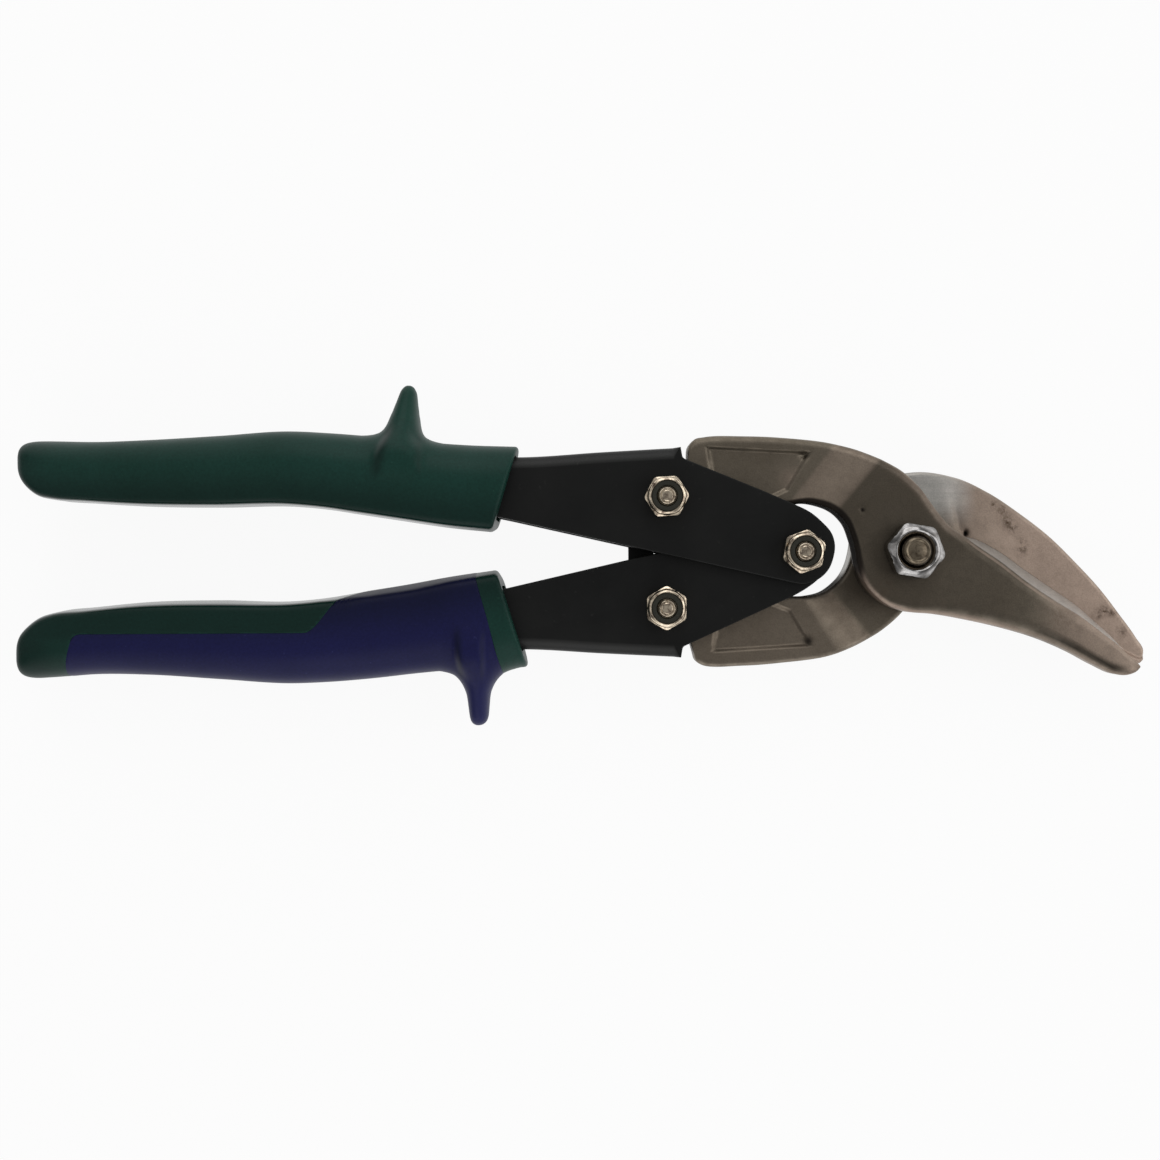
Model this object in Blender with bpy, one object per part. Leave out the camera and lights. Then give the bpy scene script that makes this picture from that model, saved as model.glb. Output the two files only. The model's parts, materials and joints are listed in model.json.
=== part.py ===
"""Compound-action aviation snips, offset right cut, lying flat on the rear side with the jaws closed.

Frame: metres, +Z up and square to the flat side, +X along the tool towards the blade tips.
The origin is on the jaw pivot's axis, at the underside of the pivot bolt's head.
"""
import bpy
import bmesh
import numpy as np
from math import cos, sin, radians, pi
from mathutils import Vector

MM = 0.001                      # outlines below are written in millimetres

# Clearances
GAP = 0.3 * MM                  # between pieces that seat on each other
LINK_SLACK = 0.2 * MM           # extra room at the upper link hole, the pivot that closes the linkage

# Pivots, measured from the jaw pivot
HANDLE_PIVOT_X = -23.7 * MM     # the two handles cross here
LINK_X = -53.2 * MM             # each handle drives a jaw tail here
LINK_Y = 12.05 * MM

# Stamped handles
SHEET = 2.0 * MM                # plate thickness
HANDLE_END_R = 7.5 * MM         # round end about the handle pivot
TANG_X = -165.0 * MM            # how far the stamping reaches into its grip
WEB_END_X = -49.9 * MM          # the channel's web stops here, open ahead of it

# Forged jaws
TAIL_T = 7.0 * MM               # thickness inside the handle channel
HUB_T = 7.0 * MM                # thickness at the jaw pivot
TIP_T = 5.0 * MM                # thickness at the blade tip
TAIL_NOSE_R = 6.3 * MM          # round end about the link bolt
ARCH_R = 11.2 * MM              # relief round the handle pivot
HUB_R = 12.2 * MM               # rounded shoulder about the jaw pivot
FORGE_EDGE = 0.8 * MM           # broken edge all round
BLADE_EDGE = 2.0 * MM           # heavier round along the back of a blade
BLADE_RELIEF = 1.2 * MM         # hollow behind the shearing edge
SHEAR_LAND = 2.6 * MM           # flat left along the shearing edge
BLADE_LENGTH = 42.0 * MM        # along the tool, from the hub's edge to the tip
POCKET_DEPTH = 0.6 * MM         # sunk panel on a jaw tail

# Jaw pivot bolt and nut
PIVOT_D = 6.35 * MM
PIVOT_AF = 11.1 * MM
PIVOT_HEAD_H = 4.2 * MM
PIVOT_NUT_H = 6.0 * MM
PIVOT_SPIN = 50.0               # degrees, where a corner of the nut points

# Handle and link bolts with lock nuts
LINK_D = 4.2 * MM
LINK_AF = 8.7 * MM
LINK_HEAD_H = 3.0 * MM
LINK_HEX_H = 3.2 * MM
LINK_NUT_H = 5.0 * MM
CROWN_R = 4.1 * MM
INSERT_R = 3.2 * MM
INSERT_H = 1.3 * MM
BOLT_END = 0.6 * MM             # bolt showing past its nut

# Grips
GRIP_LENGTH = 106.5 * MM        # from the front end to the butt
GRIP_WALL = 4.0 * MM            # over the tang's flat sides, where the grip is fullest
OVERMOULD_T = 1.2 * MM          # soft skin on the lower grip
GRIP_FULLNESS = 3.0             # exponent of the rounded section, 2 is an ellipse
FRONT_LEAN = 0.31               # lean of a grip's front end

# Return spring and latch
WIRE_D = 1.2 * MM
BUSHING_WALL = 0.6 * MM
SPRING_TURNS = 1.5
SPRING_LEG_X = -45.0 * MM       # where the legs end, inside the jaw tails
LATCH_T = 1.5 * MM
LATCH_BOSS_R = 5.0 * MM
LATCH_ARM_X = -58.8 * MM        # middle of the arm
LATCH_ARM_W = 5.6 * MM
HOOK_REACH = 6.4 * MM           # how far the hook goes below the tool's middle
HOOK_TOE = 1.8 * MM             # toe that catches in the slot
HOOK_TOE_H = 1.9 * MM
HOOK_TRAVEL = 2.6 * MM          # sideways way of the hook as the latch swings
SLOT_ROOM = 0.9 * MM            # room for the hook in its slot

# Levels, worked out from the stack of plates about the shear plane
ROUND_STEPS = 24
MID_Z = PIVOT_HEAD_H + GAP + HUB_T + GAP / 2
CHANNEL = TAIL_T + 2 * GAP
GRIP_HALF_Z = CHANNEL / 2 + SHEET + GAP + GRIP_WALL
STAGGER = (SHEET + GAP) / 2     # the upper handle sits this much nearer the front, the lower as much behind
HANDLE_PIVOT = Vector((HANDLE_PIVOT_X, 0, MID_Z))
JAW_PIVOT = Vector((0, 0, MID_Z))
UPPER_LINK = Vector((LINK_X, LINK_Y, MID_Z))
LOWER_LINK = Vector((LINK_X, -LINK_Y, MID_Z))

for leftover in list(bpy.data.objects):
    bpy.data.objects.remove(leftover, do_unlink=True)


# Materials

def finish(name, colour, roughness, metallic=0.0):
    material = bpy.data.materials.new(name)
    material.use_nodes = True
    shader = material.node_tree.nodes["Principled BSDF"]
    shader.inputs["Base Color"].default_value = (*colour, 1.0)
    shader.inputs["Roughness"].default_value = roughness
    shader.inputs["Metallic"].default_value = metallic
    return material


FORGED = finish("forged_steel", (0.17, 0.14, 0.115), 0.45, 0.8)
BLACKED = finish("black_steel", (0.012, 0.013, 0.014), 0.38, 0.3)
CHROME = finish("chrome", (0.75, 0.75, 0.76), 0.12, 1.0)
NICKEL = finish("nickel", (0.62, 0.55, 0.45), 0.25, 1.0)
NYLON = finish("nylon", (0.02, 0.02, 0.015), 0.55)
GREEN = finish("green_grip", (0.008, 0.075, 0.048), 0.5)
VIOLET = finish("violet_grip", (0.028, 0.022, 0.16), 0.5)
SPRING_STEEL = finish("spring_steel", (0.25, 0.24, 0.23), 0.35, 0.9)


# Mesh helpers

def make(name, verts, faces):
    mesh = bpy.data.meshes.new(name)
    mesh.from_pydata([tuple(v) for v in verts], [], faces)
    body = bmesh.new()
    body.from_mesh(mesh)
    bmesh.ops.recalc_face_normals(body, faces=body.faces)
    body.to_mesh(mesh)
    body.free()
    obj = bpy.data.objects.new(name, mesh)
    bpy.context.scene.collection.objects.link(obj)
    return obj


def loft(name, rings, closed=False):
    """Skin a list of equal rings; closed joins the last ring to the first instead of capping both."""
    count, width = len(rings), len(rings[0])
    verts = np.concatenate(rings)
    faces = []
    for i in range(count if closed else count - 1):
        a, b = i * width, ((i + 1) % count) * width
        for j in range(width):
            k = (j + 1) % width
            faces.append((a + j, a + k, b + k, b + j))
    if not closed:
        faces.append(tuple(range(width)))
        faces.append(tuple(range((count - 1) * width, count * width)))
    return make(name, verts, faces)


def prism(name, outline, low, high):
    rings = [np.array([(x, y, z) for x, y in outline]) for z in (low, high)]
    return loft(name, rings)


def boolean(obj, tool, operation="DIFFERENCE"):
    modifier = obj.modifiers.new(operation, "BOOLEAN")
    modifier.object = tool
    modifier.operation = operation
    depsgraph = bpy.context.evaluated_depsgraph_get()
    mesh = bpy.data.meshes.new_from_object(obj.evaluated_get(depsgraph))
    obj.modifiers.clear()
    obj.data = mesh
    bpy.data.objects.remove(tool, do_unlink=True)
    return obj


def bore(obj, centre, radius, low, high):
    hole = turned("bore", centre, [(radius, low), (radius, high)])
    return boolean(obj, hole)


def clone(obj):
    twin = obj.copy()
    twin.data = obj.data.copy()
    bpy.context.scene.collection.objects.link(twin)
    return twin


def place(obj, name, material, joint):
    """Name a finished piece, give it its material and hang it on its joint's empty."""
    obj.name = name
    obj.data.name = name
    obj.data.materials.clear()
    obj.data.materials.append(material)
    obj.data.shade_smooth()
    obj.data.set_sharp_from_angle(angle=radians(32))
    for vertex in obj.data.vertices:
        vertex.co -= joint.location
    obj.parent = joint
    return obj


def joint_empty(name, point):
    empty = bpy.data.objects.new(name, None)
    empty.location = point
    empty.empty_display_size = 0.01
    bpy.context.scene.collection.objects.link(empty)
    return empty


# Outline helpers, points in metres

def polar(centre, radius, degrees):
    return centre[0] + radius * cos(radians(degrees)), centre[1] + radius * sin(radians(degrees))


def arc(centre, radius, start, end, steps):
    return [polar(centre, radius, start + (end - start) * i / steps) for i in range(steps + 1)]


def mm(*points):
    return [(x * MM, y * MM) for x, y in points]


def mirrored(outline):
    return [(x, -y) for x, y in outline]


def offset(outline, distance):
    """Move every side of a counter-clockwise outline outwards by distance, with mitred corners."""
    points = np.array(outline)
    ahead = np.roll(points, -1, axis=0) - points
    ahead /= np.linalg.norm(ahead, axis=1)[:, None]
    normal = np.stack([ahead[:, 1], -ahead[:, 0]], axis=1)
    before = np.roll(normal, 1, axis=0)
    mitre = normal + before
    mitre /= (mitre * normal).sum(axis=1)[:, None]
    return [tuple(p) for p in points + mitre * distance]


# Turned and hexagonal pieces

def hexagon(across_flats, spin):
    """Radius of a hexagon at an angle, with a corner pointing along spin."""
    def radius(angle):
        turn = (angle - radians(spin)) % (pi / 3) - pi / 6
        return across_flats / 2 / cos(turn)
    return radius


def turned(name, centre, profile, spin=0.0, bored=False):
    """Carry a profile of (radius or hexagon, z) round a vertical axis; bored closes it on itself."""
    angles = radians(spin) + np.arange(ROUND_STEPS) * 2 * pi / ROUND_STEPS
    rings = []
    for size, z in profile:
        radii = np.array([size(a) for a in angles]) if callable(size) else np.full(ROUND_STEPS, size)
        rings.append(np.stack([centre[0] + radii * np.cos(angles), centre[1] + radii * np.sin(angles),
                               np.full(ROUND_STEPS, z)], axis=1))
    return loft(name, rings, closed=bored)


def bolt(name, centre, diameter, across_flats, head_h, seat, end, spin, joint, material):
    """A bolt with its hexagon head under seat and its chamfered end up at end."""
    hexa = hexagon(across_flats, spin)
    chamfer = hexagon(across_flats * 0.9, spin)
    radius = diameter / 2
    tip = diameter * 0.12
    profile = [(chamfer, seat - head_h), (hexa, seat - head_h * 0.85), (hexa, seat), (radius, seat),
               (radius, end - tip), (radius - tip, end)]
    return place(turned(name, centre, profile, spin), name, material, joint)


def lock_nut(prefix, centre, seat, spin, joint):
    """A hexagon nut with a round crown, and the nylon ring that is pressed into it."""
    hexa = hexagon(LINK_AF, spin)
    hole = LINK_D / 2 + GAP
    top = seat + LINK_NUT_H
    floor = top - INSERT_H - GAP
    shoulder = seat + LINK_HEX_H
    profile = [(hole, seat), (LINK_AF / 2, seat), (hexa, seat + LINK_HEX_H * 0.2), (hexa, shoulder),
               (CROWN_R, shoulder + GAP), (CROWN_R * 0.97, top - GAP), (INSERT_R + GAP * 2, top),
               (INSERT_R + GAP, top), (INSERT_R + GAP, floor), (hole, floor)]
    nut = turned(prefix, centre, profile, spin, bored=True)
    place(nut, prefix + "_nut", NICKEL, joint)
    ring = [(hole, floor + GAP), (INSERT_R, floor + GAP), (INSERT_R, top - GAP), (hole, top - GAP)]
    insert = turned(prefix, centre, ring, spin, bored=True)
    place(insert, prefix + "_insert", NYLON, joint)


# Jaws: matching points on the outer and the inner edge, carried from the tail to the blade tip

def jaw_section(outer, inner, low, high, bevel, back, relief):
    """Section between an outer and an inner edge point: bevel leans the outer side, back rounds the inner."""
    outer, inner = np.array(outer), np.array(inner)
    width = np.linalg.norm(inner - outer)
    along = (inner - outer) / width
    thick = high - low
    edge = min(FORGE_EDGE, 0.3 * width)
    back = min(back, 0.3 * width)
    land = min(SHEAR_LAND, 0.45 * width)
    relief = min(relief, 0.8 * (width - edge - land))
    lip = edge * 0.3
    across = [0, bevel * (1 - edge / thick), bevel + edge, width - back, width, width,
              width - edge, land + relief, land, lip]
    height = [low + lip, high - edge, high, high, high - back, low + edge,
              low + relief, low + relief, low, low]
    ring = [(*(outer + along * u), z) for u, z in zip(across, height)]
    return np.array(ring)


def jaw(name, rows, side):
    """Rows hold outer point, inner point, climb from tail to hub, edge bevel and blade share.

    side is +1 for the jaw in front and -1 for the jaw behind.
    """
    rings = []
    for outer, inner, climb, bevel, blade in rows:
        tail_low = STAGGER - TAIL_T / 2
        tail_high = STAGGER + TAIL_T / 2
        hub_low = GAP / 2
        hub_high = GAP / 2 + HUB_T + (TIP_T - HUB_T) * blade
        low = tail_low + (hub_low - tail_low) * climb
        high = tail_high + (hub_high - tail_high) * climb
        back = FORGE_EDGE + (BLADE_EDGE - FORGE_EDGE) * min(1.0, blade * 4)
        relief = BLADE_RELIEF * min(1.0, blade * 8)
        ring = jaw_section(outer, inner, low, high, bevel * MM, back, relief)
        ring[:, 2] = MID_Z + side * ring[:, 2]
        rings.append(ring)
    return loft(name, rings)


BLADE_ROOT_X, BLADE_TIP_X = 12.0, 54.0      # ends of the blade in the outlines below


def along_blade(*points):
    """Outline points in millimetres, drawn out from the hub's edge to the set blade length."""
    stretch = BLADE_LENGTH / ((BLADE_TIP_X - BLADE_ROOT_X) * MM)
    return mm(*[(BLADE_ROOT_X + (x - BLADE_ROOT_X) * stretch, y) for x, y in points])


def tail_rows(link, sign, outer):
    """The tail's round nose about its link, its step behind the web, and its two long edges."""
    nose = [(polar(link, TAIL_NOSE_R, sign * a), polar(link, TAIL_NOSE_R, -sign * a)) for a in (165, 125, 90)]
    inner = mm((-48.2, 5.7), (-47.3, 5.7), (-45.8, 5.7), (-42.5, 5.8), (-35.5, 7.0), (-30.0, 9.2))
    rows = [(o, i, 0.0, 0.0, 0.0) for o, i in nose]
    rows += [(o, (x, sign * y), 0.0, 0.0, 0.0) for o, (x, y) in zip(outer, inner)]
    return rows


def arch_rows(sign, outer):
    """The joggle from tail to hub, whose inner edge goes round the handle pivot."""
    angles = (103, 80, 55, 34, 15)
    climbs = (0.0, 0.4, 0.7, 1.0, 1.0)
    return [(o, polar(HANDLE_PIVOT, ARCH_R, sign * a), f, 0.0, 0.0) for o, a, f in zip(outer, angles, climbs)]


def front_jaw_rows():
    rows = tail_rows(UPPER_LINK, 1, mm((-48.2, 18.4), (-48.0, 23.6), (-46.8, 25.1), (-44.5, 25.7),
                                       (-35.9, 25.8), (-28.0, 25.4)))
    rows += arch_rows(1, mm((-17.7, 24.2), (-12.3, 22.8), (-8.9, 21.4), (-5.2, 19.6), (-1.3, 17.2)))
    hub_outer = mm((2.3, 13.7), (4.2, 10.7), (6.0, 7.8), (8.6, 5.2), (11.9, 4.1))
    hub_inner = [polar(JAW_PIVOT, HUB_R * r, a)
                 for a, r in ((180, 0.94), (197, 0.94), (217, 0.98), (241, 1.02), (263, 1.07))]
    rows += [(o, i, 1.0, b, 0.0) for o, i, b in zip(hub_outer, hub_inner, (0, 0, 0, 0, 1.2))]
    edge = along_blade((15.8, 2.9), (20.9, 0.1), (26.2, -3.7), (32.5, -8.1), (37.8, -11.8), (42.3, -15.8),
                       (45.9, -19.1), (48.8, -22.4), (50.5, -24.7))
    back = mm((5.5, -13.9)) + along_blade((13.0, -15.3), (20.7, -17.1), (28.5, -19.5), (35.0, -22.3),
                                          (40.5, -25.3), (44.8, -27.1), (48.2, -27.4), (50.6, -26.1))
    bevel = (2.5, 3.3, 3.6, 3.3, 2.8, 1.9, 1.6, 0.8, 0.3)
    share = np.linspace(0.1, 1.0, len(edge))
    rows += [(o, i, 1.0, b, t) for o, i, b, t in zip(edge, back, bevel, share)]
    return rows


def rear_jaw_rows():
    rows = tail_rows(LOWER_LINK, -1, mm((-48.2, -18.4), (-47.6, -20.9), (-46.8, -23.7), (-44.2, -25.1),
                                        (-35.9, -25.3), (-28.0, -24.7)))
    rows += arch_rows(-1, mm((-17.7, -23.2), (-12.3, -21.3), (-8.5, -19.6), (-5.2, -17.7), (-1.3, -14.5)))
    hub_outer = mm((1.8, -10.8), (3.6, -8.0), (5.4, -5.4), (7.6, -2.9), (10.0, -1.0), (12.6, 0.2))
    hub_inner = [polar(JAW_PIVOT, HUB_R * r, a)
                 for a, r in ((172, 0.92), (153, 1.0), (137, 1.1), (118, 1.21), (99, 1.36), (79, 1.50))]
    rows += [(o, i, 1.0, b, 0.0) for o, i, b in zip(hub_outer, hub_inner, (0, 0, 0, 0, 0.6, 1.2))]
    edge = along_blade((15.8, 0.3), (20.5, -2.4), (26.0, -5.9), (31.5, -9.8), (37.0, -14.0), (42.0, -18.2),
                       (46.5, -22.0), (49.9, -24.4), (52.4, -25.2))
    back = mm((11.3, 17.0)) + along_blade((18.9, 13.5), (26.0, 8.9), (32.6, 3.8), (38.4, -2.4), (43.9, -8.5),
                                          (48.6, -14.5), (52.5, -19.0), (54.0, -22.2))
    bevel = (1.6, 2.0, 2.0, 2.0, 2.0, 1.6, 1.2, 0.8, 0.3)
    share = np.linspace(0.1, 1.0, len(edge))
    rows += [(o, i, 1.0, b, t) for o, i, b, t in zip(edge, back, bevel, share)]
    return rows


def build_jaws():
    link_hole = LINK_D / 2 + GAP
    pivot_hole = PIVOT_D / 2 + GAP
    tall = MID_Z * 3
    front = jaw("front", front_jaw_rows(), 1)
    bore(front, JAW_PIVOT, pivot_hole, -MID_Z, tall)
    bore(front, UPPER_LINK, link_hole + LINK_SLACK, -MID_Z, tall)
    panel = mm((-43.1, 22.4), (-40.0, 8.0), (-26.0, 13.2), (-21.0, 22.0))
    floor = MID_Z + STAGGER + TAIL_T / 2 - POCKET_DEPTH
    boolean(front, prism("panel", panel, floor, tall))
    place(front, "front_jaw", FORGED, jaw_hinge)

    rear = jaw("rear", rear_jaw_rows(), -1)
    bore(rear, JAW_PIVOT, pivot_hole, -MID_Z, tall)
    bore(rear, LOWER_LINK, link_hole, -MID_Z, tall)
    panel = mm((-41.8, -21.6), (-21.0, -20.6), (-25.8, -12.6), (-40.0, -8.0))
    floor = MID_Z - STAGGER + TAIL_T / 2 - POCKET_DEPTH
    boolean(rear, prism("panel", panel, floor, tall))
    place(rear, "rear_jaw", FORGED, rear_jaw_hinge)


# Handles: two plates and a web along the outer edge

OUTER_EDGE = [(TANG_X, 21.6 * MM)] + mm((-135.0, 23.2), (-110.0, 22.2), (-83.1, 21.2), (-67.4, 22.2)) \
    + [(WEB_END_X, 23.2 * MM)]
INNER_EDGE = [(TANG_X, 14.4 * MM)] + mm((-127.0, 13.6), (-103.0, 9.9), (-89.7, 7.5))


def handle_outline():
    """The stamping's side, counter-clockwise, for the upper handle."""
    shoulder = [(WEB_END_X + 0.4 * MM, 20.6 * MM)] + mm((-48.2, 20.0), (-28.4, 11.9), (-24.7, 10.6),
                                                        (-21.5, 8.7), (-19.2, 6.8))
    end = arc(HANDLE_PIVOT, HANDLE_END_R, 44, -102, 9)
    clockwise = OUTER_EDGE + shoulder + end + INNER_EDGE[::-1]
    return clockwise[::-1]


def channel_outline():
    """What is taken out between the plates: all but the web."""
    far, wide = 40 * MM, 60 * MM
    under_web = [(x, y - SHEET) for x, y in OUTER_EDGE]
    start = (TANG_X - far, under_web[0][1])
    return [(TANG_X - far, -wide), (far, -wide), (far, wide), (WEB_END_X, wide)] + under_web[::-1] + [start]


def latch_slot():
    """Mouth and undercut in the lower handle's rear plate, which the latch's hook drops into."""
    left = LATCH_ARM_X - LATCH_ARM_W / 2 - SLOT_ROOM
    mouth = LATCH_ARM_X + LATCH_ARM_W / 2 + HOOK_TRAVEL
    undercut = mouth + HOOK_TOE + SLOT_ROOM
    floor = -HOOK_REACH - 2 * SLOT_ROOM     # the hook's heel dips as the latch swings
    roof = HOOK_TOE_H - HOOK_REACH + SLOT_ROOM
    return [(left, floor), (undercut, floor), (undercut, roof), (mouth, roof), (mouth, LINK_Y / 3),
            (left, LINK_Y / 3)]


def handle(name, flip, joint):
    side = -1 if flip else 1
    level = MID_Z + side * STAGGER
    turn = mirrored if flip else list
    half = CHANNEL / 2 + SHEET
    body = prism(name, turn(handle_outline()), level - half, level + half)
    boolean(body, prism("channel", turn(channel_outline()), level - CHANNEL / 2, level + CHANNEL / 2))
    link = LOWER_LINK if flip else UPPER_LINK
    for centre in (HANDLE_PIVOT, link):
        bore(body, centre, LINK_D / 2 + GAP, -MID_Z, 3 * MID_Z)
    if flip:
        boolean(body, prism("slot", latch_slot(), level - half - SHEET, level - CHANNEL / 2 + GAP))
    return place(body, name, BLACKED, joint)


def tang_pocket(flip):
    """The hole a grip is pushed on by: the tang's outline, drawn out past the front end."""
    past = (-75.0 * MM, 21.3 * MM), (-75.0 * MM, 4.4 * MM)
    clockwise = OUTER_EDGE[:4] + list(past) + INNER_EDGE[::-1]
    outline = offset(clockwise[::-1], GAP)
    level = MID_Z + (-STAGGER if flip else STAGGER)
    half = CHANNEL / 2 + SHEET + GAP
    return prism("tang", mirrored(outline) if flip else outline, level - half, level + half)


# Grips: rounded sections from the butt to the leaning front end

UPPER_GRIP = ((-194.7, 23.0, 18.8, 0.30), (-193.9, 24.6, 16.4, 0.56), (-191.9, 25.3, 14.1, 0.77),
              (-187.2, 25.6, 12.6, 0.91), (-178.9, 25.3, 11.8, 0.97), (-166.9, 25.7, 11.1, 0.99),
              (-151.0, 26.5, 10.7, 1.0), (-135.0, 27.4, 10.7, 1.0), (-127.1, 26.9, 10.0, 1.0),
              (-119.1, 26.2, 8.8, 1.0), (-109.0, 25.0, 7.1, 1.0), (-98.5, 24.1, 5.6, 1.0),
              (-88.2, 23.7, 4.8, 1.0))
LOWER_GRIP = ((-195.6, -25.0, -19.4, 0.30), (-194.8, -26.3, -16.6, 0.56), (-192.8, -26.8, -14.2, 0.77),
              (-188.2, -26.8, -12.4, 0.91), (-179.8, -26.3, -11.3, 0.97), (-167.7, -26.5, -10.2, 0.99),
              (-151.5, -27.4, -9.9, 1.0), (-135.7, -28.4, -10.2, 1.0), (-127.6, -28.1, -9.5, 1.0),
              (-119.6, -27.5, -8.0, 1.0), (-109.0, -26.5, -6.3, 1.0), (-98.0, -25.6, -4.6, 1.0),
              (-87.0, -25.1, -3.5, 1.0))
UPPER_FIN = ((15.0, -110.6, 4.0, 0.93), (21.0, -110.7, 5.2, 0.96), (25.6, -110.9, 5.7, 0.86),
             (28.3, -110.4, 3.8, 0.72), (31.4, -109.9, 2.9, 0.60), (34.4, -109.7, 2.1, 0.48),
             (36.3, -109.5, 1.4, 0.38), (37.0, -109.6, 0.5, 0.25))
LOWER_FIN = ((-15.0, -95.6, 4.4, 0.93), (-21.0, -95.2, 6.6, 0.96), (-25.3, -94.0, 7.4, 0.86),
             (-28.1, -94.8, 4.2, 0.72), (-30.6, -94.8, 2.9, 0.60), (-33.3, -94.6, 2.4, 0.50),
             (-35.6, -94.4, 2.1, 0.42), (-37.1, -94.4, 1.7, 0.36), (-38.1, -94.5, 0.6, 0.25))
GRIP_STEPS = 20


def along_grip(x):
    """Place along a grip in metres, drawn out from its front end to the set length."""
    front, butt = UPPER_GRIP[-1][0], UPPER_GRIP[0][0]
    return (front + (x - front) * GRIP_LENGTH / ((front - butt) * MM)) * MM


def squircle(half_a, half_b):
    """Points of a rounded section, half_a by half_b, between an ellipse and a box."""
    angles = np.arange(GRIP_STEPS) * 2 * pi / GRIP_STEPS + pi / GRIP_STEPS
    power = 2 / GRIP_FULLNESS
    a = half_a * np.sign(np.cos(angles)) * np.abs(np.cos(angles)) ** power
    b = half_b * np.sign(np.sin(angles)) * np.abs(np.sin(angles)) ** power
    return a, b


def grip_body(name, rows, level, inset=0.0):
    """Loft the grip's sections; the front ones lean with the end. inset draws every side in."""
    sign = 1 if rows[0][1] > 0 else -1
    lean_from, lean_to = along_grip(rows[7][0]), along_grip(rows[-1][0])
    rings = []
    for x, outer, inner, share in rows:
        middle = (outer + inner) / 2 * MM
        half_y = abs(outer - inner) / 2 * MM - inset
        half_z = GRIP_HALF_Z * share - inset
        a, b = squircle(half_y, half_z)
        station = along_grip(x)
        lean = FRONT_LEAN * min(1.0, max(0.0, (station - lean_from) / (lean_to - lean_from)))
        start = station + (inset if station < TANG_X else 0.0)
        rings.append(np.stack([start + sign * a * lean, middle + a, level + b], axis=1))
    return loft(name, rings)


def fin_body(name, rows, level):
    """The guard that keeps the hand back: sections stacked outwards from the grip."""
    rings = []
    for y, x, half_x, share in rows:
        a, b = squircle(half_x * MM, GRIP_HALF_Z * share)
        rings.append(np.stack([x * MM + a, np.full(GRIP_STEPS, y * MM), level + b], axis=1))
    return loft(name, rings)


def overmould_outline(grow):
    """Plan of the soft skin on the lower grip; grow widens it all round."""
    drawn = mm((-182.0, -45.0), (-86.3, -45.0), (-86.3, -24.6), (-89.2, -24.2), (-98.5, 6.0),
               (-123.0, 6.0), (-126.0, -9.5), (-129.5, -17.0), (-182.0, -17.0))
    outline = [(along_grip(x / MM), y) for x, y in drawn]
    return offset(outline, grow)


def build_grips():
    level = MID_Z + STAGGER
    upper = grip_body("upper", UPPER_GRIP, level)
    boolean(upper, fin_body("fin", UPPER_FIN, level), "UNION")
    boolean(upper, tang_pocket(False))
    place(upper, "upper_grip", GREEN, handle_hinge)

    level = MID_Z - STAGGER
    low, high = level - 2 * GRIP_HALF_Z, level + 2 * GRIP_HALF_Z
    lower = grip_body("lower", LOWER_GRIP, level)
    skin = clone(lower)
    boolean(skin, fin_body("fin", LOWER_FIN, level), "UNION")
    boolean(skin, prism("plan", overmould_outline(0.0), low, high), "INTERSECT")
    boolean(skin, grip_body("core", LOWER_GRIP, level, OVERMOULD_T))
    place(skin, "lower_grip_overmould", VIOLET, frame_empty)
    recess = prism("plan", overmould_outline(GAP), low, high)
    boolean(recess, grip_body("core", LOWER_GRIP, level, OVERMOULD_T + GAP))
    boolean(lower, recess)
    boolean(lower, tang_pocket(True))
    place(lower, "lower_grip", GREEN, frame_empty)


# Fasteners

def build_fasteners():
    hub_half = GAP / 2 + HUB_T
    nut_seat = MID_Z + hub_half + GAP
    hexa = hexagon(PIVOT_AF, PIVOT_SPIN)
    hole = PIVOT_D / 2 + GAP
    top = nut_seat + PIVOT_NUT_H
    profile = [(hole, nut_seat), (PIVOT_AF / 2, nut_seat), (hexa, nut_seat + PIVOT_NUT_H * 0.1),
               (hexa, top - PIVOT_NUT_H * 0.1), (PIVOT_AF / 2 * 0.98, top), (hole + GAP * 2, top),
               (hole, top - GAP * 2)]
    nut = turned("nut", JAW_PIVOT, profile, PIVOT_SPIN, bored=True)
    place(nut, "pivot_nut", CHROME, rear_jaw_hinge)
    bolt("pivot_bolt", JAW_PIVOT, PIVOT_D, PIVOT_AF, PIVOT_HEAD_H, PIVOT_HEAD_H, top + BOLT_END, PIVOT_SPIN,
         rear_jaw_hinge, CHROME)

    front_of_upper = MID_Z + STAGGER + CHANNEL / 2 + SHEET
    front_of_lower = MID_Z - STAGGER + CHANNEL / 2 + SHEET
    back_of_upper = MID_Z + STAGGER - CHANNEL / 2 - SHEET
    back_of_lower = MID_Z - STAGGER - CHANNEL / 2 - SHEET
    under_latch = back_of_upper - GAP - LATCH_T
    places = (("handle_pivot", HANDLE_PIVOT, front_of_upper, back_of_lower, 20, frame_empty),
              ("upper_link", UPPER_LINK, front_of_upper, under_latch, 3, handle_hinge),
              ("lower_link", LOWER_LINK, front_of_lower, back_of_lower, 30, frame_empty))
    for prefix, centre, front, back, spin, joint in places:
        lock_nut(prefix, centre, front + GAP, spin, joint)
        end = front + GAP + LINK_NUT_H + BOLT_END
        bolt(prefix + "_bolt", centre, LINK_D, LINK_AF, LINK_HEAD_H, back - GAP, end, spin, joint, NICKEL)


# Return spring on its bushing, between the inner plates

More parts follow.
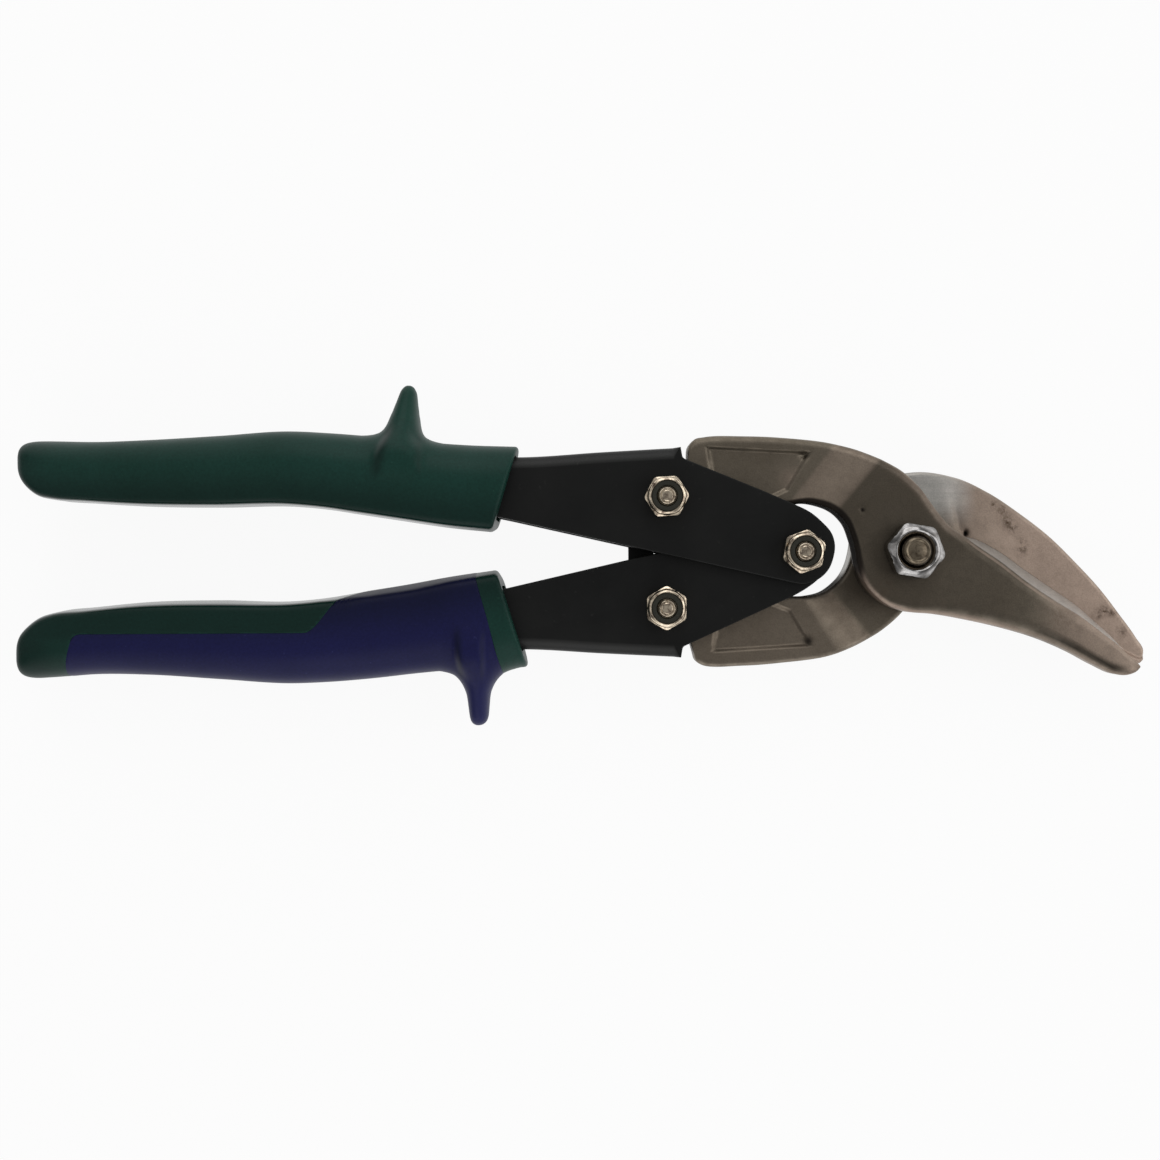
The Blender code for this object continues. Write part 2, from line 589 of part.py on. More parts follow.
def build_spring():
    room = CHANNEL / 2 - STAGGER
    inner = LINK_D / 2 + GAP
    outer = inner + BUSHING_WALL
    ring = [(inner, MID_Z - room + GAP), (outer, MID_Z - room + GAP), (outer, MID_Z + room - GAP),
            (inner, MID_Z + room - GAP)]
    place(turned("bushing", HANDLE_PIVOT, ring, bored=True), "spring_bushing", NICKEL, frame_empty)

    radius = outer + GAP + WIRE_D / 2
    climb = 2 * room - 3 * GAP - WIRE_D
    steps = 10
    turns = int(SPRING_TURNS * steps) + 1
    coil = []
    for i in range(turns):
        share = i / (turns - 1)
        x, y = polar(HANDLE_PIVOT, radius, -90 + 360 * SPRING_TURNS * share)
        coil.append((x, y, MID_Z + climb * (share - 0.5)))
    rest_y = LINK_Y - TAIL_NOSE_R - GAP - WIRE_D / 2
    leg = [(SPRING_LEG_X, rest_y - 1.6 * MM), (SPRING_LEG_X + 2.4 * MM, rest_y - 0.3 * MM),
           (SPRING_LEG_X + 5.0 * MM, rest_y)]
    lower_leg = [(x, -y, coil[0][2]) for x, y in leg]
    upper_leg = [(x, y, coil[-1][2]) for x, y in leg[::-1]]
    path = lower_leg + coil + upper_leg

    points = np.array(coil)
    away = np.linalg.norm(points[:, None] - points[None], axis=2)
    apart = np.abs(np.arange(turns)[:, None] - np.arange(turns)[None]) > steps // 2
    print("return_spring least gap to itself, mm:", round((away[apart].min() - WIRE_D) / MM, 2))

    curve = bpy.data.curves.new("return_spring", "CURVE")
    curve.dimensions = "3D"
    curve.bevel_depth = WIRE_D / 2
    curve.bevel_resolution = 1
    curve.use_fill_caps = True
    spline = curve.splines.new("POLY")
    spline.points.add(len(path) - 1)
    for point, (x, y, z) in zip(spline.points, path):
        point.co = (x - HANDLE_PIVOT.x, y, z - HANDLE_PIVOT.z, 1.0)
    wire = bpy.data.objects.new("return_spring", curve)
    wire.location = HANDLE_PIVOT
    wire.data.materials.append(SPRING_STEEL)
    bpy.context.scene.collection.objects.link(wire)


# Latch: a plate on the upper link that hooks into the lower handle's slot

def build_latch():
    front = MID_Z + STAGGER - CHANNEL / 2 - SHEET - GAP
    boss = arc(UPPER_LINK, LATCH_BOSS_R, -40, 190, 12)
    left = LATCH_ARM_X - LATCH_ARM_W / 2
    right = LATCH_ARM_X + LATCH_ARM_W / 2
    neck = HOOK_TOE_H - HOOK_REACH
    hook = [(left, 1.8 * MM), (left, -HOOK_REACH), (right + HOOK_TOE, -HOOK_REACH), (right + HOOK_TOE, neck),
            (right, neck), (right, 0.6 * MM)]
    arm = mm((-64.6, 9.0), (-64.6, 3.2)) + hook + mm((-52.4, 5.0))
    plate = prism("latch", boss + arm, front - LATCH_T, front)
    tab = mm((-65.4, 9.0), (-65.4, 3.2), (-63.9, 3.2), (-63.9, 9.0))
    boolean(plate, prism("tab", tab, front - LATCH_T - 3.0 * MM, front - GAP), "UNION")
    bore(plate, UPPER_LINK, LINK_D / 2 + GAP, -MID_Z, 3 * MID_Z)
    place(plate, "latch", BLACKED, latch_hinge)


# Joints: the lower handle is the frame, every other body hangs on an empty at its pivot

frame_empty = joint_empty("frame", (0, 0, 0))
handle_hinge = joint_empty("handle_hinge", HANDLE_PIVOT)
rear_jaw_hinge = joint_empty("rear_jaw_hinge", LOWER_LINK)
jaw_hinge = joint_empty("jaw_hinge", JAW_PIVOT)
latch_hinge = joint_empty("latch_hinge", UPPER_LINK)

build_jaws()
handle("upper_handle", False, handle_hinge)
handle("lower_handle", True, frame_empty)
build_grips()
build_fasteners()
build_spring()
build_latch()
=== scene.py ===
import json
import bmesh
import bpy
import numpy as np
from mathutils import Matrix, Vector


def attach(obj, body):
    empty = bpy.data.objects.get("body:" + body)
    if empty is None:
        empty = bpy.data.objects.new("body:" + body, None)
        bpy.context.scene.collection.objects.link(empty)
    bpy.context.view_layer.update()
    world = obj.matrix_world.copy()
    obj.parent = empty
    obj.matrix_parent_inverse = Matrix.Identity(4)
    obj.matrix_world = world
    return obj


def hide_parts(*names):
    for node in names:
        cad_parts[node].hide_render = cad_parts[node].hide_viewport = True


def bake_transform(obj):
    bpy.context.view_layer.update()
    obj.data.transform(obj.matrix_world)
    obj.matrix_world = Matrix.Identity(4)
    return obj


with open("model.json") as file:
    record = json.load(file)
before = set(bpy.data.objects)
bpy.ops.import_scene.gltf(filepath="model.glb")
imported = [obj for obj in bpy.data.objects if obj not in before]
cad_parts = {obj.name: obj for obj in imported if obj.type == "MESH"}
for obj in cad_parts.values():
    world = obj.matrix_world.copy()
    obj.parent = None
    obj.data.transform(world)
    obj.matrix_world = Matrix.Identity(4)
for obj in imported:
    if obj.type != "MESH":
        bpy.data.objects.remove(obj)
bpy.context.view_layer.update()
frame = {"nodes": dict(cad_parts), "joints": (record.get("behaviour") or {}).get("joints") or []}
print("frame loaded,", len(frame["nodes"]), "nodes")


def addObject(name, data):                # an object of the scene
    thing = bpy.data.objects.new(name, data)
    bpy.context.scene.collection.objects.link(thing)
    return thing


# Camera, straight above the tool and a little turned
viewer = {"place": (-0.071935, -0.005847, 0.32165), "roll": -0.0056, "lens": 43.34, "sensor": 36.0}
cameraData = bpy.data.cameras.new("viewer")
cameraData.sensor_fit = "HORIZONTAL"
cameraData.sensor_width = viewer["sensor"]
cameraData.lens = viewer["lens"]
cameraData.clip_start = 0.01
camera = addObject("viewer", cameraData)
camera.location = viewer["place"]
camera.rotation_euler = (0.0, 0.0, viewer["roll"])
bpy.context.scene.camera = camera
print("camera placed")

# All shapes below are worked out in millimetres in the part's own frame
mm = 0.001
joints = {joint["name"]: np.array(joint["pos_m"]) / mm for joint in frame["joints"]}
handlePivot = joints["handle_hinge"]
jawPivot = joints["jaw_hinge"]
upperLink = joints["latch_hinge"]
lowerLink = joints["rear_jaw_hinge"]
midZ = handlePivot[2]                     # the plane in which the blades shear
gap, sheet, channel, stagger = 0.3, 2.0, 7.6, 1.15
linkHole = 2.4                            # radius of the holes round the link bolts


def ease(low, high, value):               # smooth step: 0 up to low, 1 from high on
    t = np.clip((np.asarray(value, float) - low) / (high - low), 0, 1)
    return t * t * (3 - 2 * t)


def bell(value, width):                   # 1 in the middle, falling off to nothing past about two widths
    return np.exp(-(np.asarray(value, float) / width) ** 2)


def spot(x, y, middle, width):            # a bell round a place in plan
    return bell(np.hypot(x - middle[0], y - middle[1]), width)


def most(*values):                        # the largest of several fields, point by point
    largest = values[0]
    for value in values[1:]:
        largest = np.maximum(largest, value)
    return largest


def unit(vectors):                        # the same directions, each of length 1
    return vectors / np.linalg.norm(vectors, axis=-1, keepdims=True)


def lengthsAlong(points):                 # how far along a line each of its points lies
    return np.concatenate([[0], np.cumsum(np.linalg.norm(np.diff(points, axis=0), axis=1))])


def smoothThrough(keys, values, at):
    # cubic from key to key; the slope at a key is that of the parabola through it and its neighbours
    keys, values, at = np.asarray(keys, float), np.asarray(values, float), np.asarray(at, float)
    slopes = np.gradient(values, keys, axis=0)
    cell = np.clip(np.searchsorted(keys, at, side="right") - 1, 0, len(keys) - 2)
    width = keys[cell + 1] - keys[cell]
    t = (at - keys[cell]) / width
    if values.ndim > 1:
        width, t = width[..., None], t[..., None]
    start = (2 * t**3 - 3 * t**2 + 1) * values[cell] + (t**3 - 2 * t**2 + t) * width * slopes[cell]
    return start + (3 * t**2 - 2 * t**3) * values[cell + 1] + (t**3 - t**2) * width * slopes[cell + 1]


def polar(centre, radius, degrees):       # points on a circle in plan
    turn = np.radians(np.asarray(degrees, float))
    return np.stack([centre[0] + radius * np.cos(turn), centre[1] + radius * np.sin(turn)], axis=-1)


def roundedLoop(corners, takeOff, runs, steps=7):
    # corners of closed sections, one section per row: each corner becomes a parabola between the points
    # takeOff before and after it, and runs tells how many points lie on the stretch that follows
    ahead = unit(np.roll(corners, -1, axis=1) - corners)
    behind = -np.roll(ahead, 1, axis=1)
    start = corners + behind * takeOff[..., None]
    end = corners + ahead * takeOff[..., None]
    t = np.linspace(0, 1, steps)[None, :, None]
    parts, bend, stretch = [], [], []
    for k, count in enumerate(runs):
        first, corner, last = start[:, k, None], corners[:, k, None], end[:, k, None]
        parts.append((1 - t) ** 2 * first + 2 * t * (1 - t) * corner + t**2 * last)
        u = (np.arange(count) + 1.0)[None, :, None] / (count + 1)
        parts.append(last + (start[:, (k + 1) % len(runs), None] - last) * u)
        bend += [4 * t[0, :, 0] * (1 - t[0, :, 0]), np.zeros(count)]
        stretch += [np.full(steps, -1 - k), np.full(count, k)]
    return np.concatenate(parts, axis=1), np.concatenate(bend), np.concatenate(stretch)


def roundedPath(points, takeOff, steps=7):   # an open line with each inner corner turned into a parabola
    points = np.asarray(points, float)
    takeOff = np.broadcast_to(np.asarray(takeOff, float), (len(points),))[1:-1, None]
    before, corner, after = points[:-2], points[1:-1], points[2:]
    first = corner + unit(before - corner) * takeOff
    last = corner + unit(after - corner) * takeOff
    t = np.linspace(0, 1, steps)[None, :, None]
    bends = (1 - t) ** 2 * first[:, None] + 2 * t * (1 - t) * corner[:, None] + t**2 * last[:, None]
    return np.concatenate([points[:1], bends.reshape(-1, 2), points[-1:]])


def surface(name, grid, closed=False, marks=None):
    # rings of points, each ring a row of the grid; closed joins the last ring to the first, else both
    # ends are capped; marks are numbers kept on the points
    rows, columns = grid.shape[:2]
    i = np.arange(rows if closed else rows - 1)[:, None]
    j = np.arange(columns)[None, :]
    nextRow, nextColumn = (i + 1) % rows, (j + 1) % columns
    cells = [i * columns + j, i * columns + nextColumn,
             nextRow * columns + nextColumn, nextRow * columns + j]
    faces = np.stack(np.broadcast_arrays(*cells), axis=-1).reshape(-1, 4).tolist()
    if not closed:
        faces.append(list(range(columns)))
        faces.append(list(range((rows - 1) * columns, rows * columns)))
    mesh = bpy.data.meshes.new(name)
    mesh.from_pydata((grid.reshape(-1, 3) * mm).tolist(), [], faces)
    for title, values in (marks or {}).items():
        layer = mesh.attributes.new(title, "FLOAT", "POINT")
        everywhere = np.broadcast_to(values, (rows, columns)).astype(np.float32)
        layer.data.foreach_set("value", everywhere.ravel())
    work = bmesh.new()
    work.from_mesh(mesh)
    bmesh.ops.remove_doubles(work, verts=work.verts, dist=2e-7)
    bmesh.ops.recalc_face_normals(work, faces=work.faces)
    work.to_mesh(mesh)
    work.free()
    return addObject(name, mesh)


def prism(name, outline, low, high):      # an outline in plan carried straight up
    outline = np.asarray(outline, float)
    levels = np.array([low, high])[:, None, None]
    grid = np.concatenate([np.broadcast_to(outline, (2, *outline.shape)),
                           np.broadcast_to(levels, (2, len(outline), 1))], axis=2)
    return surface(name, grid)


def platePress(outline, low, high, radius, flat=0.25):
    # an outline carried up with its rims rounded: near each face the side goes in by radius (1 - cos) and
    # up by radius (sin); radius is one number or one per point, and the last rings keep the face flat
    outline = np.asarray(outline, float)
    radius = np.broadcast_to(np.asarray(radius, float), (len(outline),))
    along = np.roll(outline, -1, axis=0) - np.roll(outline, 1, axis=0)
    out = unit(np.stack([along[:, 1], -along[:, 0]], axis=1))
    area = np.sum(outline[:, 0] * np.roll(outline[:, 1], -1) - outline[:, 1] * np.roll(outline[:, 0], -1))
    out *= np.sign(area)
    turn = np.linspace(0, np.pi / 2, 7)[:, None]
    inset = np.concatenate([radius * (1 - np.cos(turn)), radius[None] + flat])
    rise = np.concatenate([radius * (np.sin(turn) - 1), np.zeros((1, len(outline)))])
    plan = outline[None] - out[None] * inset[..., None]
    upper = np.concatenate([plan, (high + rise)[..., None]], axis=2)
    lower = np.concatenate([plan, (low - rise)[..., None]], axis=2)[::-1]
    return np.concatenate([lower, upper])


def cutAway(piece, *cutters, operation="DIFFERENCE"):
    for cutter in cutters:
        step = piece.modifiers.new("cut", "BOOLEAN")
        step.object = cutter
        step.operation = operation
        step.solver = "EXACT"
        view = bpy.context.evaluated_depsgraph_get()
        result = bpy.data.meshes.new_from_object(piece.evaluated_get(view))
        piece.modifiers.clear()
        piece.data = result
        bpy.data.objects.remove(cutter)
    return piece


def drill(centre, radius):                # a round cutter through everything
    return prism("drill", polar(centre, radius, np.arange(72) * 5.0), midZ - 40, midZ + 40)


def dress(piece, material, sharp=32):     # material and shading of a finished piece
    piece.data.name = piece.name
    piece.data.materials.clear()
    piece.data.materials.append(material)
    piece.data.shade_smooth()
    piece.data.set_sharp_from_angle(angle=np.radians(sharp))


def fit(piece, body, node, material):
    # dress a finished piece and hang it in the frame in place of its node
    dress(piece, material)
    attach(piece, body)
    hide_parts(node)


# Finishes
def setInputs(tree, node, inputs):        # links what comes from another node, sets the rest
    for key, value in inputs.items():
        if isinstance(value, bpy.types.NodeSocket):
            tree.links.new(value, node.inputs[key])
        else:
            node.inputs[key].default_value = value


def addNode(tree, kind, inputs=None, **settings):
    node = tree.nodes.new(kind)
    for key, value in settings.items():
        setattr(node, key, value)
    setInputs(tree, node, inputs or {})
    return node


def startFinish(name):
    material = bpy.data.materials.new(name)
    material.use_nodes = True
    tree = material.node_tree
    place = addNode(tree, "ShaderNodeTexCoord").outputs["Object"]
    return material, tree, tree.nodes["Principled BSDF"], place


def grain(tree, place, scale, detail=4.0, rough=0.55, distortion=0.0):
    settings = {"Vector": place, "Scale": scale, "Detail": detail, "Roughness": rough,
                "Distortion": distortion}
    return addNode(tree, "ShaderNodeTexNoise", settings).outputs["Fac"]


def ramp(tree, value, stops):             # colour or grey by value, stops of (place, colour)
    node = addNode(tree, "ShaderNodeValToRGB", {"Fac": value})
    edges = node.color_ramp.elements
    while len(edges) < len(stops):
        edges.new(0.5)
    for edge, (at, colour) in zip(edges, stops):
        edge.position = at
        edge.color = (*colour, 1.0) if isinstance(colour, tuple) else (colour, colour, colour, 1.0)
    return node.outputs["Color"]


def mixed(tree, factor, first, second, blend="MIX"):
    first, second = ((*c, 1.0) if isinstance(c, tuple) else c for c in (first, second))
    inputs = {"Fac": factor, "Color1": first, "Color2": second}
    return addNode(tree, "ShaderNodeMixRGB", inputs, blend_type=blend).outputs["Color"]


def toned(tree, colour, value, stops):    # a colour made darker or paler by value
    return mixed(tree, 1.0, colour, ramp(tree, value, stops), "MULTIPLY")


def maths(tree, operation, first, second):
    return addNode(tree, "ShaderNodeMath", {0: first, 1: second}, operation=operation).outputs["Value"]


def mark(tree, name):                     # a number kept on the mesh's points
    return addNode(tree, "ShaderNodeAttribute", attribute_name=name).outputs["Fac"]


def relief(tree, height, strength, depth):
    inputs = {"Height": height, "Strength": strength, "Distance": depth}
    return addNode(tree, "ShaderNodeBump", inputs).outputs["Normal"]


# forging colours: the hub colour serves as the hub's darker tone and as painted shade, the near-black
# only as painted shade, and the pale pink-brown, grey and rubbed colours also as painted highlight
forged = {"dark": (0.125, 0.104, 0.078), "light": (0.165, 0.140, 0.108), "hub": (0.062, 0.051, 0.038),
          "groundAndSheen": (0.640, 0.630, 0.605), "honedAndSheen": (0.435, 0.331, 0.268), "wornAndSheen": (0.320, 0.280, 0.232),
          "rust": (0.080, 0.052, 0.035), "paintedShade": (0.010, 0.008, 0.007), "metallic": 0.85}


def forgedFinish():
    material, tree, shader, place = startFinish("forgedSteel")
    cloud = grain(tree, place, 60.0, 4.0, 0.55, 0.3)      # broad patches of tone
    scale = grain(tree, place, 420.0, 6.0, 0.62)          # forging scale
    sand = grain(tree, place, 3200.0, 3.0, 0.6)           # fine tooth
    lines = addNode(tree, "ShaderNodeMapping", {"Vector": place, "Rotation": (0.0, 0.0, 0.62),
                                                "Scale": (60.0, 2400.0, 300.0)}).outputs["Vector"]
    brushed = grain(tree, lines, 1.0, 4.0, 0.6)
    colour = ramp(tree, cloud, [(0.30, forged["dark"]), (0.72, forged["light"])])
    # darker: the hub's own tone, with painted shade in the panel's walls and corners, along the groove
    # and on the shoulder
    colour = mixed(tree, mark(tree, "hub"), colour, forged["hub"])
    honedAndSheen = toned(tree, forged["honedAndSheen"], cloud, [(0.3, 0.90), (0.7, 1.08)])
    # pale pink-brown: honed steel, and painted highlight on rims, beside the cutting edge, on the ramps
    # and on a panel wall
    colour = mixed(tree, mark(tree, "honedAndSheen"), colour, honedAndSheen)
    bare = toned(tree, forged["groundAndSheen"], brushed, [(0.25, 0.86), (0.75, 1.08)])
    # pale grey: the ground bevel, and a painted highlight on the rear jaw's wall beside the arch
    colour = mixed(tree, mark(tree, "groundAndSheen"), colour, bare)
    colour = toned(tree, colour, scale, [(0.28, 0.86), (0.50, 1.0), (0.76, 1.10)])
    colour = toned(tree, colour, sand, [(0.28, 0.84), (0.62, 1.06)])
    # paler on rounded corners: rubbed wear, and painted highlight on some edges
    rubbedAndSheen = maths(tree, "MULTIPLY", mark(tree, "wearAndSheen"), ramp(tree, scale, [(0.32, 0.15), (0.62, 0.60)]))
    colour = mixed(tree, rubbedAndSheen, colour, forged["wornAndSheen"])
    speck = grain(tree, place, 900.0, 5.0, 0.65, 0.4)
    spots = maths(tree, "MULTIPLY", mark(tree, "rust"), ramp(tree, speck, [(0.42, 0.12), (0.60, 0.95)]))
    colour = mixed(tree, spots, colour, forged["rust"])
    # painted shade: near-black in the walls round the arch, along the groove, in pits and in the panel's
    # deep corner
    colour = mixed(tree, mark(tree, "paintedShade"), colour, forged["paintedShade"])
    dull = ramp(tree, scale, [(0.25, 0.50), (0.75, 0.38)])
    dull = mixed(tree, mark(tree, "groundAndSheen"), dull, (0.40, 0.40, 0.40))
    dull = mixed(tree, mark(tree, "paintedShade"), dull, (0.95, 0.95, 0.95))
    height = maths(tree, "ADD", maths(tree, "MULTIPLY", scale, 0.6), maths(tree, "MULTIPLY", sand, 0.4))
    setInputs(tree, shader, {"Base Color": colour, "Roughness": dull, "Metallic": forged["metallic"],
                             "Normal": relief(tree, height, 0.22, 0.00020)})
    return material


blacked = {"low": (0.0055, 0.0058, 0.0058), "high": (0.0110, 0.0112, 0.0108),
           "dust": (0.035, 0.035, 0.033), "wornAndSheen": (0.05, 0.05, 0.049), "specular": 0.15}


def blackedFinish():
    material, tree, shader, place = startFinish("blackedSteel")
    cloud = grain(tree, place, 60.0, 5.0, 0.6)
    peel = grain(tree, place, 1500.0, 3.0, 0.5)           # faint ripple of the coating
    dust = grain(tree, place, 900.0, 2.0, 0.5)
    colour = ramp(tree, cloud, [(0.3, blacked["low"]), (0.7, blacked["high"])])
    colour = mixed(tree, ramp(tree, dust, [(0.70, 0.0), (0.80, 0.5)]), colour, blacked["dust"])
    # painted highlight along the handles' rolled edges, and painted light over the latch, which lies in
    # shade
    colour = mixed(tree, maths(tree, "MULTIPLY", mark(tree, "wearAndSheen"), 0.55), colour, blacked["wornAndSheen"])
    dull = ramp(tree, cloud, [(0.25, 0.44), (0.75, 0.33)])
    setInputs(tree, shader, {"Base Color": colour, "Roughness": dull,
                             "Specular IOR Level": blacked["specular"],
                             "Normal": relief(tree, peel, 0.10, 0.00008)})
    return material


platedShade = (0.03, 0.028, 0.026)
mouldedShade = (0.001, 0.003, 0.003)
wallRoughness = 0.18                      # the flat inner wall of a grip is smoother


def platedFinish(name, bright, stain, roughLow, roughHigh, stainAmount, stainScale=210.0):
    material, tree, shader, place = startFinish(name)
    cloud = grain(tree, place, stainScale, 5.0, 0.62, 0.6)
    fine = grain(tree, place, 2400.0, 4.0, 0.6)
    stains = ramp(tree, cloud, [(0.46, 0.0), (0.70, stainAmount)])
    colour = mixed(tree, stains, bright, stain)
    colour = toned(tree, colour, fine, [(0.25, 0.82), (0.6, 1.06)])
    colour = mixed(tree, mark(tree, "shade"), colour, platedShade)
    dull = ramp(tree, fine, [(0.25, roughHigh), (0.75, roughLow)])
    bumps = relief(tree, maths(tree, "ADD", fine, cloud), 0.10, 0.00012)
    setInputs(tree, shader, {"Base Color": colour, "Roughness": dull, "Metallic": 1.0, "Normal": bumps})
    return material


def mouldedFinish(name, low, high, pale, roughLow, roughHigh, specular):
    material, tree, shader, place = startFinish(name)
    cloud = grain(tree, place, 38.0, 5.0, 0.6, 0.2)
    pebble = grain(tree, place, 1900.0, 3.0, 0.55)
    specks = grain(tree, place, 1300.0, 1.0, 0.4)
    colour = ramp(tree, cloud, [(0.28, low), (0.74, high)])
    colour = toned(tree, colour, pebble, [(0.3, 0.86), (0.65, 1.08)])
    colour = mixed(tree, ramp(tree, specks, [(0.74, 0.0), (0.82, 0.35)]), colour, pale)
    # painted light: paler on the grips' fins
    colour = mixed(tree, maths(tree, "MULTIPLY", mark(tree, "wearAndSheen"), 0.5), colour, pale)
    colour = mixed(tree, maths(tree, "MULTIPLY", mark(tree, "shade"), 0.48), colour, mouldedShade)
    dull = ramp(tree, cloud, [(0.3, roughHigh), (0.7, roughLow)])
    dull = mixed(tree, mark(tree, "wall"), dull, (wallRoughness,) * 3)
    setInputs(tree, shader, {"Base Color": colour, "Roughness": dull, "Specular IOR Level": specular,
                             "Normal": relief(tree, pebble, 0.12, 0.00010)})
    return material


forgedSteel = forgedFinish()
blackedSteel = blackedFinish()
chromePlate = platedFinish("chromePlate", (0.36, 0.35, 0.345), (0.14, 0.13, 0.12), 0.06, 0.15, 0.8, 420.0)
boltSteel = platedFinish("boltSteel", (0.20, 0.165, 0.12), (0.075, 0.055, 0.037), 0.24, 0.42, 0.9, 620.0)
nickelPlate = platedFinish("nickelPlate", (0.76, 0.65, 0.50), (0.085, 0.045, 0.034), 0.10, 0.24, 0.95,
                           760.0)
springWire = platedFinish("springWire", (0.30, 0.29, 0.28), (0.14, 0.12, 0.10), 0.26, 0.42, 0.6)
oliveNylon = mouldedFinish("oliveNylon", (0.014, 0.014, 0.009), (0.028, 0.027, 0.018), (0.10, 0.09, 0.06),
                           0.40, 0.55, 0.35)
greenRubber = mouldedFinish("greenRubber", (0.0064, 0.0330, 0.0242), (0.0098, 0.0435, 0.0340),
                            (0.024, 0.078, 0.056), 0.38, 0.48, 0.13)
violetRubber = mouldedFinish("violetRubber", (0.0075, 0.0082, 0.0490), (0.0108, 0.0118, 0.0670),
                             (0.040, 0.044, 0.140), 0.40, 0.50, 0.13)
print("finishes made")


# Jaws: matching points on the outer and the inner edge from the tail's nose to the blade's tip
tail = {"noseRadius": 6.3, "noseAngles": [165, 125, 90],
        "inner": [(-48.2, 5.7), (-47.3, 5.7), (-45.8, 5.7), (-42.5, 5.8), (-35.5, 7.0), (-30.0, 9.2)]}
jawSet = {"stations": 340, "thick": 7.0, "archAngles": [103, 80, 55, 34, 15], "hubRadius": 12.2,
          "tailLow": -2.35, "tailHigh": 4.65, "hubLow": 0.15, "hubHigh": 7.15, "thinning": 2.0,
          "rampTail": 21.5, "rampHub": (-5.9, 19.9), "rampSlant": 0.86, "panelWall": 1.2,
          "panelDeep": 0.75, "pivotHole": 3.475, "looseHole": 2.6}
frontJaw = {
    "side": 1, "runs": [12, 3, 84, 4, 26], "pit": (-10.5, 9.0), "panelEnd": (-22.6, 21.3),
    "panelLight": (-25.2, 15.8), "rust": [(33, -15, 3.0, 0.35), (-6, -8, 2.5, 0.3)],
    "wearAndSheen": (0.5, 0.6, 0.1, 0.35, 0.4), "tailOuter": [(-48.2, 18.4), (-48.0, 23.4), (-46.8, 24.8),
                                                      (-44.5, 25.4), (-35.9, 25.55), (-28.0, 25.2)],
    "archOuter": [(-17.7, 24.05), (-12.3, 22.65), (-8.9, 21.3), (-5.2, 19.55), (-1.3, 17.2)],
    "archReach": [10.6, 10.9, 11.25, 11.45, 11.35],
    "hubOuter": [(2.3, 13.75), (4.4, 10.85), (6.4, 8.1), (8.7, 5.5), (11.9, 3.75)],
    "hubAngles": [180, 197, 217, 241, 263], "hubReach": [0.985, 0.975, 1.005, 1.035, 1.07],
    "edge": [(15.8, 2.75), (20.9, 0.1), (26.2, -3.7), (32.5, -8.1), (37.8, -11.8), (42.3, -15.8),
             (45.9, -19.1), (48.6, -22.4), (49.9, -24.2), (50.3, -25.2)],
    "back": [(5.5, -13.75), (13.0, -15.1), (20.7, -16.9), (28.5, -19.3), (35.0, -22.13), (40.5, -25.1),
             (44.8, -27.05), (47.9, -27.2), (49.7, -26.4), (50.3, -25.6)],
    "bevel": [0.05, 0.05, 0.05, 0.05, 0.6, 2.2, 2.9, 3.2, 3.15, 2.8, 2.3, 1.9, 1.2, 0.5, 0.1],
    "shoulder": [1.1, 1.2, 1.2, 1.2, 1.3, 1.4, 1.5, 1.5, 1.4, 1.3, 1.1, 0.9, 0.6, 0.3, 0.1],
    "backRound": [1.1, 1.2, 1.3, 1.5, 1.9, 2.5, 3.0, 3.0, 2.8, 2.6, 2.2, 1.7, 1.0, 0.5, 0.1],
    "panel": [(-44.6, 23.6), (-41.5, 6.0), (-26.2, 13.2), (-20.7, 22.2)], "ramp": (-18.2, 0.80)}
